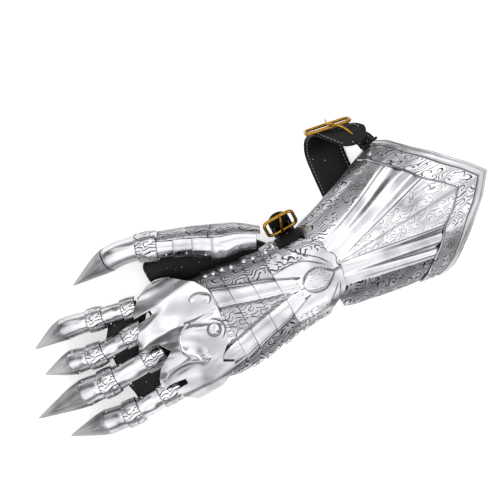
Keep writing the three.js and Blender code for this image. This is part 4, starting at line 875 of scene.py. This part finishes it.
def cuffDome(a):
    thumbSide, littleSide, crown, low = readTable(cuff["sections"], a / cuff["length"])
    return {"line": 0.0, "thumb": thumbSide * cuff["spread"], "little": littleSide * cuff["spread"],
            "crown": crown * cuff["crown"], "mid": cuff["flank"], "low": mix(hand["low"], cuff["low"], low),
            "tuck": cuff["tuck"], "power": 2}


def cuffSkin(a, angle, lift):
    across, z = domeSkin(cuffDome(a), angle, lift)
    return cuffPlace(a, across, z)


# each column of the cuff: +1 or -1 for its side, its zone (0 panel, 1 flutes, 2 side strip, 3 flank) and share of it
def cuffLayout():
    one = [(0, s) for s in np.linspace(0, 1, 16)[1:]]
    one += [(1, s) for s in np.linspace(0, 1, 34)[1:]]
    one += [(2, s) for s in np.linspace(0, 1, 28)[1:]]
    one += [(3, s) for s in np.linspace(0, 1, 9)[1:]]
    columns = [(1, zone, s) for zone, s in reversed(one)] + [(1, 0, 0.0)] + [(-1, zone, s) for zone, s in one]
    return np.array(columns)


cuffColumn = cuffLayout()


def cuffAngles(a, columns):
    side, zone, share = columns.T
    dome = cuffDome(a)
    half = np.where(side > 0, dome["thumb"], dome["little"])
    panel = np.maximum(0.23 * (a + 0.02 * cuff["length"]), 0.01 * cuff["spread"])
    fluteShare = np.clip(0.44 + 0.5 * (a / cuff["length"] + 0.034), 0.4, 0.74)
    edge = np.degrees(np.arcsin(fluteShare))
    inner = np.minimum(np.degrees(np.arcsin(np.clip(panel / half, 0, 1))), edge - 6)
    angle = np.select([zone == 0, zone == 1, zone == 2],
                      [inner * share, mix(inner, edge, share), mix(edge, 90, share)], 90 + hand["turn"] * share)
    depth = cuff["flute"] * np.clip(0.25 + 0.9 * a / cuff["length"], 0.1, 1)
    hollow = -depth * (0.8 * np.sin(share * math.tau) ** 2 + 0.25 * np.sin(share * math.pi))
    ridge = cuff["ridge"] * np.exp(-share * inner / 3.0)
    rise = np.select([zone == 0, zone == 1], [ridge, hollow], 0.45 * smoothstep(share * (zone == 2) + (zone == 3), 0, 0.03))
    return angle * side, rise


def rimPlace(columns):
    a = np.full(len(columns), 0.7 * cuff["length"])
    for _ in range(30):
        angle, _ = cuffAngles(a, columns)
        over = np.sin(np.radians(np.minimum(np.abs(angle), 90)))
        under = 0.2 * np.maximum(np.abs(angle) - 90, 0) / hand["turn"]
        wanted = np.where(columns[:, 0] > 0, readStraight(cuff["thumbRim"], over + under),
                          readStraight(cuff["littleRim"], over + under))
        a = mix(a, wanted * cuff["length"], 0.5)
    return a


def buildCuffPlate():
    rows = 120
    end = rimPlace(cuffColumn) - 0.12 * cuff["border"]
    t = np.linspace(0, 1, rows)[:, None]
    a = mix(cuff["rear"] * cuff["length"], end[None, :], t)
    grids = []
    angle, rise = cuffAngles(a, cuffColumn)
    for under in (0, gauntlet["plate"]):
        grids.append(cuffSkin(a, angle, rise - under))
    side, zone, share = (np.broadcast_to(c, a.shape) for c in cuffColumn.T)
    panel = (zone == 0) & (share < 0.93) & (a > 12)
    strip = ((zone == 2) & (share > 0.05)) | (zone == 3)
    etch = np.where(panel, 0.6, np.where(strip, 1.0, 0.0))
    dark = smoothstep(share, 0.55, 0.62) * (zone == 2) + (zone == 3)
    ground = np.where(strip, np.where(side > 0, 0.3 + 0.5 * dark, 0.9), 0.0)
    # dark lines along the centre fold and the panel's outer edge, and painted shadow at the foot of the step up to the
    # side strip
    fold = np.where(zone == 0, np.exp(-(share * 12) ** 2) * 0.5, 0)
    edge = np.where(zone == 1, np.exp(-((share - 0.985) * 45) ** 2), 0) + np.where(zone == 0, np.exp(-((share - 1) * 30) ** 2), 0)
    seam = np.clip(fold + 0.85 * edge, 0, 1) * smoothstep(a, 4, 20)
    sheet("cuff_plate", grids[0], grids[1], ["cuff_plate"], {"etch": etch, "ground": ground, "seam": seam})


def buildCuffBorder():
    side, zone, share = cuffColumn.T
    keep = np.where(side > 0, (zone < 2) | ((zone == 2) & (share <= 0.67)), zone <= 2)
    columns = cuffColumn[keep]
    rim = rimPlace(columns)
    nearRim, _ = cuffAngles(rim, columns)
    width = cuff["border"] * mix(1.15, 0.88, np.abs(nearRim) / 90)
    s = np.concatenate([np.linspace(0, 0.66, 26), np.linspace(0.68, 1, 22)])[:, None]
    # flat engraved strip, a small step, a rolled bead, a fine line and the rim's own roll
    bead = 0.25 * np.exp(-(s / 0.03) ** 2)
    bead = bead + np.interp(s, [0, 0.66, 0.7, 0.76, 0.84, 0.88, 0.9, 0.93, 0.98, 1.0],
                            [0, 0, 0.5, 0.95, 0.95, 0.78, 0.7, 0.95, 0.8, 0.3])
    a = rim[None, :] - width[None, :] * (1 - s)
    angle, rise = cuffAngles(a, columns)
    lift = gauntlet["plate"] + 1.4 * gauntlet["gap"] + np.maximum(rise, 0)
    outer = cuffSkin(a, angle, lift + bead * cuff["bead"])
    inner = cuffSkin(a, angle, lift - gauntlet["plate"])
    etch = 1.0 * ((s > 0.05) & (s < 0.65))
    rolled = 0.22 * (s > 0.68)
    ends = smoothstep(np.abs(nearRim), 34, 62)[None, :]
    ground = etch * mix(0.12, 0.8, ends)
    seam = np.exp(-((s - 0.035) / 0.018) ** 2) + np.exp(-((s - 0.68) / 0.018) ** 2) + 0.7 * np.exp(-((s - 0.9) / 0.015) ** 2)
    sheet("cuff_border", outer, inner, ["cuff_border"], {"etch": etch, "ground": ground, "seam": np.clip(seam, rolled, 1)})


buildCuffPlate()
buildCuffBorder()
print("cuff ready")

# Straps

straps = {
    "width": 34, "stations": [
        (0.17, -0.57, 0.13, 0.5, 0, 0), (0.175, -0.552, 0.065, 0.5, -0.02, 0), (0.18, -0.5, 0.015, 0.5, -0.04, 0),
        (0.19, -0.42, 0, 0.5, -0.05, 0), (0.21, -0.1, 0, 0.5, -0.06, 0), (0.235, 0.35, 0, 0.5, -0.06, 0),
        (0.26, 0.8, 0, 0.5, -0.06, 0), (0.28, 1.08, 0.004, 0.5, -0.06, 0), (0.3, 1.29, 0.04, 0.5, -0.08, 0),
        (0.33, 1.43, 0.13, 0.49, -0.1, 0), (0.365, 1.48, 0.26, 0.48, -0.13, 0), (0.4, 1.45, 0.385, 0.46, -0.13, 0),
        (0.44, 1.36, 0.45, 0.42, 0, 0.02), (0.48, 1.25, 0.475, 0.36, 0.1, 0.04), (0.52, 1.15, 0.485, 0.31, 0.14, 0.05)],
    "buckleLength": 40, "buckleHeight": 17, "lean": 18, "clearance": 0.5, "wire": 1.5, "tongue": 1.2,
    "wristWidth": 19, "wristPlace": -0.117 * 180, "wristBuckleLength": 27, "wristBuckleHeight": 16,
    "wristStations": [(-0.36, 0.36), (-0.345, 0.22), (-0.28, 0.08), (-0.15, 0.012), (0.1, 0), (0.3, 0.01),
                      (0.41, 0.09), (0.46, 0.24), (0.475, 0.4), (0.487, 0.5), (0.53, 0.6), (0.65, 0.74)],
    "stitch": 3.2, "stitchInset": 2.6,
}
stitchRows = []    # each row: points along it and the outward direction at each


def ribbon(name, centres, halves, nodes, roundEnd=True, stitched=True, steps=120):
    curve = curveThrough(centres, 600)
    knots = np.linspace(0, 1, len(centres))
    u = np.linspace(0, 1, steps)
    grid = np.linspace(0, 1, len(curve[0]))
    centre = np.stack([np.interp(u, grid, curve[0][:, c]) for c in range(3)], -1)
    wall = gauntlet["strap"]
    centre[:, 2] = np.maximum(centre[:, 2], wall / 2)
    along = unit(np.gradient(centre, axis=0))
    half = np.stack([np.interp(u, knots, np.array(halves)[:, c]) for c in range(3)], -1)
    normal = unit(np.cross(along, half))
    length = np.concatenate([[0], np.cumsum(np.linalg.norm(np.diff(centre, axis=0), axis=1))])
    if roundEnd:
        left = length[-1] - length
        tip = np.linalg.norm(half[-1])
        t = np.clip(1 - left / (0.9 * tip), 0, 1)
        half = half * np.sqrt(np.clip(1 - 0.93 * t * t, 0, 1))[:, None]
    # section: cut edges slightly rounded, the grain side flat
    section = [(1, 0), (0.985, 0.36), (0.94, 0.5), (0.5, 0.5), (0, 0.5), (-0.5, 0.5), (-0.94, 0.5), (-0.985, 0.36),
               (-1, 0), (-0.985, -0.36), (-0.94, -0.5), (-0.5, -0.5), (0, -0.5), (0.5, -0.5), (0.94, -0.5), (0.985, -0.36)]
    rings = np.stack([centre + half * s + normal * wall * h for s, h in section], 1)
    piece = ringBody(name, rings, beltHide, nodes, sharp=70)
    if stitched:
        size = np.linalg.norm(half, axis=1, keepdims=True)
        for side in (-1, 1):
            for face in (-1, 1):
                # none where the strap lies on the floor
                row = centre + half * side * (1 - straps["stitchInset"] / size) + normal * face * wall * 0.5
                stitchRows.append((row[3:-9], normal[3:-9] * face))
    return piece, centre, half, normal


cuffCentres, cuffHalves = [], []
for a, across, z, along, side, up in straps["stations"]:
    cuffCentres.append(cuffPlace(a * cuff["length"], across * cuff["spread"], gauntlet["strap"] / 2 + z * cuff["crown"]))
    vector = np.array([along * cuffCos - side * cuffSin, along * cuffSin + side * cuffCos, up])
    cuffHalves.append(vector * straps["width"])
ribbon("cuff_strap", cuffCentres, cuffHalves, ["cuff_strap"])

buckleCentres, buckleHalves = [], []
seat = 3 * gauntlet["gap"] + gauntlet["strap"] / 2
for place, angle in ((0.54, 84), (0.53, 94)):
    reach = 0.27 * straps["width"] * 0.85
    ahead = cuffSkin(np.float64(place * cuff["length"] + reach), np.float64(angle), seat)
    behind = cuffSkin(np.float64(place * cuff["length"] - reach), np.float64(angle), seat)
    buckleCentres.append((ahead + behind) / 2)
    buckleHalves.append((ahead - behind) / 2)
for a, across, z, along, side in ((0.52, 1.13, 0.255, 0.25, 0.05), (0.47, 1.24, 0.27, 0.28, 0.05),
                                  (0.41, 1.37, 0.28, 0.34, -0.06)):
    buckleCentres.append(cuffPlace(a * cuff["length"], across * cuff["spread"], np.float64(z * cuff["crown"])))
    vector = np.array([along * cuffCos - side * cuffSin, along * cuffSin + side * cuffCos, 0])
    buckleHalves.append(vector * straps["width"] * 0.85)
ribbon("cuff_buckle_strap", buckleCentres, buckleHalves, ["cuff_buckle_strap"], False, steps=50)

wristCentres = [(straps["wristPlace"], y * hand["width"], gauntlet["strap"] / 2 + z * hand["crown"])
                for y, z in straps["wristStations"]]
wristHalves = [(straps["wristWidth"] / 2, 0, 0)] * len(wristCentres)
ribbon("wrist_strap", wristCentres, wristHalves, ["wrist_strap"])

seat = gauntlet["gap"] + gauntlet["strap"] / 2
wristDome = handDome(np.float64(straps["wristPlace"]))
shortCentres = [(straps["wristPlace"], *(float(v) for v in domeSkin(wristDome, np.float64(angle), seat)))
                for angle in (50, 57, 64, 70)]
ribbon("wrist_buckle_strap", shortCentres, [(straps["wristWidth"] * 0.62, 0, 0)] * 4, ["wrist_buckle_strap"], False,
       False, 24)


# Brass buckles: bent wire frames with a tongue

def wireFrame(name, centre, long, short):
    around = np.radians(np.arange(0, 360, 4.5))
    power = 0.36
    a = np.sign(np.cos(around)) * np.abs(np.cos(around)) ** power
    b = np.sign(np.sin(around)) * np.abs(np.sin(around)) ** power
    path = centre + a[:, None] * long + b[:, None] * short
    along = unit(np.roll(path, -1, 0) - np.roll(path, 1, 0))
    normal = unit(np.cross(long, short))
    out = unit(np.cross(along, normal))
    out *= np.sign(np.einsum("ij,ij->i", out, path - centre))[:, None]
    turn = np.radians(np.arange(0, 360, 22.5))
    r = straps["wire"]
    rings = path[:, None] + r * (np.cos(turn)[None, :, None] * out[:, None] + np.sin(turn)[None, :, None] * normal)
    ringBody(name, rings, brass, [name], closed=True)


def wireTongue(name, points):
    curve = curveThrough(points, 200)
    at = np.linspace(0, curve[1][-1], 30)
    centre, along = alongCurve(curve, at)
    side = unit(np.cross(along, [1.0, 0, 0]))
    up = unit(np.cross(side, along))
    turn = np.radians(np.arange(0, 360, 30))
    size = straps["tongue"] * np.clip(1.25 - (at / at[-1]) ** 3 * 0.6, 0.5, 1)
    size[0] *= 0.5
    size[-1] *= 0.6
    rings = centre[:, None] + size[:, None, None] * (np.cos(turn)[None, :, None] * side[:, None]
                                                     + np.sin(turn)[None, :, None] * up[:, None])
    ringBody(name, rings, brass, [name])


def cuffBuckle():
    station, following, before = (np.array(cuffCentres[k]) for k in (10, 11, 9))
    along = unit(following - before)
    long = unit(np.array(cuffHalves[10]))
    short = unit(along - long * np.dot(along, long))
    out = unit(np.cross(long, short))
    out = -out if out[1] < 0 else out
    clear = gauntlet["strap"] / 2 + straps["clearance"] + straps["wire"] + 0.6
    centre = mix(station, following, 0.4) + out * clear
    # the frame leans over with the strap, so that it shows from above
    lean = math.radians(straps["lean"])
    short, out = short * math.cos(lean) - out * math.sin(lean), out * math.cos(lean) + short * math.sin(lean)
    long, short = long * straps["buckleLength"] / 2, short * straps["buckleHeight"] / 2
    wireFrame("cuff_buckle_frame", centre, long, short)
    over = straps["wire"] + straps["tongue"] + straps["clearance"] + 0.3
    wireTongue("cuff_buckle_tongue", [
        centre - short * 1.1 + out * (over + 0.4), centre + out * (over + 0.7), centre + short * 1.1 + out * (over + 0.2),
        np.array(cuffCentres[12]) + out * (over + 1.5) + np.array([0, 0, over]),
        np.array(cuffCentres[13]) + np.array([0, 1.5, gauntlet["strap"] / 2 + straps["tongue"] + straps["clearance"] + 0.6]),
    ])


def wristBuckle():
    rear, front = np.array(wristCentres[10]), np.array(wristCentres[11])
    short = unit(front - rear)
    out = np.array([0, -short[2], short[1]])
    centre = mix(rear, front, 0.3) + out * (gauntlet["strap"] / 2 + straps["clearance"] + straps["wire"])
    short = short * straps["wristBuckleHeight"] / 2
    wireFrame("wrist_buckle_frame", centre, np.array([straps["wristBuckleLength"] / 2, 0, 0]), short)
    over = straps["wire"] + straps["tongue"] + straps["clearance"] + 0.3
    wireTongue("wrist_buckle_tongue", [centre + short * s + out * over + np.array([s * 2, 0, 0]) for s in (-0.9, 0, 1.15)])


cuffBuckle()
wristBuckle()
print("straps and buckles ready")


# Glove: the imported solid, joined up, smoothed and given its grain

def buildGlove():
    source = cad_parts["glove"]
    mesh = source.data.copy()
    piece = bpy.data.objects.new("leather_glove", mesh)
    bpy.context.scene.collection.objects.link(piece)
    piece.matrix_world = source.matrix_world.copy()
    mesh.transform(source.matrix_world)
    piece.matrix_world = Matrix.Identity(4)
    weld = piece.modifiers.new("weld", "WELD")
    weld.merge_threshold = 1e-5
    soft = piece.modifiers.new("soft", "SUBSURF")
    soft.levels = soft.render_levels = 2
    evaluated = piece.evaluated_get(bpy.context.evaluated_depsgraph_get())
    finished = bpy.data.meshes.new_from_object(evaluated)
    piece.modifiers.clear()
    piece.data = finished
    finished.shade_smooth()
    finished.materials.clear()
    finished.materials.append(gloveHide)
    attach(piece, "root")
    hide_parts("glove")


buildGlove()
print("glove ready")


# Rivets and stitches are laid by Geometry Nodes on points that carry their outward direction

def pointCloud(name, points, normals):
    mesh = bpy.data.meshes.new(name)
    mesh.from_pydata(toFrame(np.array(points)).tolist(), [], [])
    mesh.attributes.new("outward", "FLOAT_VECTOR", "POINT").data.foreach_set(
        "vector", np.array(normals, np.float32).ravel())
    piece = bpy.data.objects.new(name, mesh)
    bpy.context.scene.collection.objects.link(piece)
    return piece


def rivetTree(name, material):
    tree = bpy.data.node_groups.new(name, "GeometryNodeTree")
    tree.interface.new_socket("Geometry", in_out="INPUT", socket_type="NodeSocketGeometry")
    size = tree.interface.new_socket("Radius", in_out="INPUT", socket_type="NodeSocketFloat")
    height = tree.interface.new_socket("Height", in_out="INPUT", socket_type="NodeSocketFloat")
    tree.interface.new_socket("Geometry", in_out="OUTPUT", socket_type="NodeSocketGeometry")
    start = addNode(tree, "NodeGroupInput")
    ball = addNode(tree, "GeometryNodeMeshUVSphere", {"Segments": 20, "Rings": 12, "Radius": 1.0})
    outward = addNode(tree, "GeometryNodeInputNamedAttribute", {"Name": "outward"}, data_type="FLOAT_VECTOR")
    turn = addNode(tree, "FunctionNodeAlignRotationToVector", {"Vector": outward.outputs["Attribute"]}, axis="Z")
    scale = addNode(tree, "ShaderNodeCombineXYZ", {0: start.outputs["Radius"], 1: start.outputs["Radius"],
                                                   2: start.outputs["Height"]})
    laid = addNode(tree, "GeometryNodeInstanceOnPoints", {"Points": start.outputs["Geometry"],
                                                          "Instance": ball.outputs["Mesh"],
                                                          "Rotation": turn.outputs[0], "Scale": scale.outputs[0]})
    real = addNode(tree, "GeometryNodeRealizeInstances", {0: laid.outputs[0]})
    smooth = addNode(tree, "GeometryNodeSetShadeSmooth", {"Geometry": real.outputs[0]})
    finish = addNode(tree, "GeometryNodeSetMaterial", {"Geometry": smooth.outputs[0], "Material": material})
    addNode(tree, "NodeGroupOutput", {0: finish.outputs[0]})
    return tree, size.identifier, height.identifier


def realize(piece, tree, values):
    modifier = piece.modifiers.new("laid", "NODES")
    modifier.node_group = tree
    for key, value in values.items():
        modifier[key] = value
    evaluated = piece.evaluated_get(bpy.context.evaluated_depsgraph_get())
    finished = bpy.data.meshes.new_from_object(evaluated)
    piece.modifiers.clear()
    piece.data = finished
    return piece


# place, size and height in mm of the larger rivets: on the hand's flanks and on the cuff
rivets = {"radius": 2.5, "height": 1.8, "small": 1.15, "smallHeight": 0.8}


def onHand(x, angle, lift=0.0):
    dome = handDome(np.float64(x))
    y, z = domeSkin(dome, np.float64(angle), lift)
    y1, z1 = domeSkin(dome, np.float64(angle), lift + 1)
    return np.array([x, y, z]), np.array([0, y1 - y, z1 - z])


def onCuff(a, angle, lift=0.0):
    point = cuffSkin(np.float64(a), np.float64(angle), lift)
    beyond = cuffSkin(np.float64(a), np.float64(angle), lift + 1)
    return point, unit(beyond - point)


def layRivets():
    # heads sit on the plates: a lame lies lower at its rear end than at its front
    large = [onHand(x, angle, 0.3) for x, angle in ((-36, 66), (-44, 62))]
    large += [onHand(x, -69, -low) for x, low in ((-22, 0.4), (-34, 0.4), (-44, 0.4), (-55, 1.2), (-63, 0.5), (-74, 1.2),
                                                  (-83, 0.5), (-92, 1.2), (-99, 0.5), (-112, 1.2))]
    large += [onHand(x, 66, -low) for x, low in ((-56, 1.1), (-64, 0.5), (-76, 1.1), (-84, 0.5), (-92, 1.2), (-99, 0.5))]
    base = gauntlet["plate"] + 1.4 * gauntlet["gap"]
    large += [onCuff(0.50 * cuff["length"], 66, base), onCuff(0.42 * cuff["length"], -88, base)]
    large += [onHand(-4, -70, -0.9)]
    tree, size, height = rivetTree("rivetHeads", steel)
    piece = pointCloud("rivets_large", [p for p, _ in large], [n for _, n in large])
    realize(piece, tree, {size: rivets["radius"] / 1000, height: rivets["height"] / 1000})
    small = pointCloud("rivets_small", [p for p, _ in fingerRivets], [n for _, n in fingerRivets])
    realize(small, tree, {size: rivets["small"] / 1000, height: rivets["smallHeight"] / 1000})
    for piece in (piece, small):
        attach(piece, "root")


def stitchTree(material):
    tree = bpy.data.node_groups.new("stitchRow", "GeometryNodeTree")
    tree.interface.new_socket("Geometry", in_out="INPUT", socket_type="NodeSocketGeometry")
    size = tree.interface.new_socket("Thickness", in_out="INPUT", socket_type="NodeSocketFloat")
    length = tree.interface.new_socket("Length", in_out="INPUT", socket_type="NodeSocketFloat")
    tree.interface.new_socket("Geometry", in_out="OUTPUT", socket_type="NodeSocketGeometry")
    start = addNode(tree, "NodeGroupInput")
    bead = addNode(tree, "GeometryNodeMeshUVSphere", {"Segments": 8, "Rings": 6, "Radius": 1.0})
    forward = addNode(tree, "GeometryNodeInputNamedAttribute", {"Name": "outward"}, data_type="FLOAT_VECTOR")
    turn = addNode(tree, "FunctionNodeAlignRotationToVector", {"Vector": forward.outputs["Attribute"]}, axis="X")
    scale = addNode(tree, "ShaderNodeCombineXYZ", {0: start.outputs["Length"], 1: start.outputs["Thickness"],
                                                   2: start.outputs["Thickness"]})
    laid = addNode(tree, "GeometryNodeInstanceOnPoints", {"Points": start.outputs["Geometry"],
                                                          "Instance": bead.outputs["Mesh"],
                                                          "Rotation": turn.outputs[0], "Scale": scale.outputs[0]})
    real = addNode(tree, "GeometryNodeRealizeInstances", {0: laid.outputs[0]})
    smooth = addNode(tree, "GeometryNodeSetShadeSmooth", {"Geometry": real.outputs[0]})
    finish = addNode(tree, "GeometryNodeSetMaterial", {"Geometry": smooth.outputs[0], "Material": material})
    addNode(tree, "NodeGroupOutput", {0: finish.outputs[0]})
    return tree, size.identifier, length.identifier


def layStitches():
    places, directions = [], []
    for row, outward in stitchRows:
        lengths = np.concatenate([[0], np.cumsum(np.linalg.norm(np.diff(row, axis=0), axis=1))])
        at = np.arange(1.0, lengths[-1] - 1, straps["stitch"])
        point = np.stack([np.interp(at, lengths, row[:, c]) for c in range(3)], -1)
        ahead = np.stack([np.interp(at + 0.5, lengths, row[:, c]) for c in range(3)], -1)
        clear = point[:, 2] > 0.5
        places += list(point[clear])
        directions += list(unit(ahead - point)[clear])
    tree, size, length = stitchTree(thread)
    piece = pointCloud("strap_stitches", places, directions)
    realize(piece, tree, {size: 0.42 / 1000, length: 1.05 / 1000})
    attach(piece, "root")


layRivets()
layStitches()
print("rivets and stitches ready")

# Studio: a white floor, a white room with darker walls low down, and two large soft lamps

studio = {"room": 1.9, "key": 2.2, "fill": 1.1, "glow": 0.48, "paint": "#b4b4b4"}


def buildStudio():
    size = 2.5
    mesh = bpy.data.meshes.new("floor")
    mesh.from_pydata([(-size, -size, 0), (size, -size, 0), (size, size, 0), (-size, size, 0)], [], [(0, 1, 2, 3)])
    floor = bpy.data.objects.new("floor", mesh)
    bpy.context.scene.collection.objects.link(floor)
    material, tree = startMaterial("whitePaintedFloor")
    patch = addNode(tree, "ShaderNodeTexNoise", {"Scale": 3.0})
    color = addNode(tree, "ShaderNodeMix", {0: patch.outputs["Fac"], 6: linearColor("#ffffff"),
                                            7: linearColor(studio["paint"])}, data_type="RGBA")
    shader = addNode(tree, "ShaderNodeBsdfPrincipled", {"Base Color": color.outputs[2], "Roughness": 0.9,
                                                        "Emission Color": linearColor("#ffffff"),
                                                        "Emission Strength": studio["glow"]})
    addNode(tree, "ShaderNodeOutputMaterial", {"Surface": shader.outputs[0]})
    mesh.materials.append(material)
    world = bpy.data.worlds.new("studioRoom")
    bpy.context.scene.world = world
    world.use_nodes = True
    tree = world.node_tree
    tree.nodes.clear()
    direction = addNode(tree, "ShaderNodeTexCoord").outputs["Generated"]
    up = addNode(tree, "ShaderNodeSeparateXYZ", {0: direction})
    patches = addNode(tree, "ShaderNodeTexNoise", {"Vector": direction, "Scale": 2.6, "Detail": 1.5})
    level = addNode(tree, "ShaderNodeMath", {0: patches.outputs["Fac"], 1: 1.6, 2: -0.84}, operation="MULTIPLY_ADD")
    height = addNode(tree, "ShaderNodeMath", {0: up.outputs[2], 1: level.outputs[0]}, operation="ADD")
    ramp = addNode(tree, "ShaderNodeValToRGB", {0: height.outputs[0]})
    # from the floor up: grey, a dark band, white walls of light, and a greyer ceiling over the camera
    ramp.color_ramp.interpolation = "EASE"
    stops = [(0.0, 0.25), (0.14, 0.05), (0.3, 0.04), (0.46, 0.7), (0.58, 1.0), (0.78, 0.95), (1.0, 0.6)]
    for position, value in stops:
        inner = 0 < position < 1
        element = ramp.color_ramp.elements.new(position) if inner else ramp.color_ramp.elements[-int(position)]
        element.color = (value, value, value, 1)
    back = addNode(tree, "ShaderNodeBackground", {"Color": ramp.outputs[0], "Strength": studio["room"]})
    addNode(tree, "ShaderNodeOutputWorld", {"Surface": back.outputs[0]})
    for name, place, width, power in (("keyLamp", (-0.5, 0.9, 1.5), 0.6, studio["key"]),
                                      ("fillLamp", (0.9, -0.8, 1.4), 0.45, studio["fill"])):
        lamp = bpy.data.lights.new(name, "AREA")
        lamp.energy, lamp.size = power, width
        holder = bpy.data.objects.new(name, lamp)
        bpy.context.scene.collection.objects.link(holder)
        holder.location = place
        holder.rotation_euler = Vector(place).to_track_quat("Z", "Y").to_euler()


buildStudio()

# Camera: long lens, almost straight above, leaning 5 degrees to the thumb side, turned as in the picture
view = {"target": (-54.67, 43.08, 30), "lean": 5.0, "distance": 2.6, "frame": 0.430, "turn": 29.2}


def buildCamera():
    lean, turn = math.radians(view["lean"]), math.radians(view["turn"])
    back = np.array([0, math.sin(lean), math.cos(lean)])
    across = np.array([0, math.cos(lean), -math.sin(lean)])
    right = math.cos(turn) * np.array([1, 0, 0]) - math.sin(turn) * across
    up = math.sin(turn) * np.array([1, 0, 0]) + math.cos(turn) * across
    target = (np.array(view["target"]) + shift) / 1000
    place = target + back * view["distance"]
    camera = bpy.data.objects.new("camera", bpy.data.cameras.new("camera"))
    bpy.context.scene.collection.objects.link(camera)
    camera.matrix_world = Matrix((
        (right[0], up[0], back[0], place[0]), (right[1], up[1], back[1], place[1]),
        (right[2], up[2], back[2], place[2]), (0, 0, 0, 1)))
    camera.data.sensor_width = 36
    camera.data.lens = 36 * view["distance"] / view["frame"]
    bpy.context.scene.camera = camera


buildCamera()
bpy.context.scene.view_settings.view_transform = "Standard"
print("studio and camera ready")
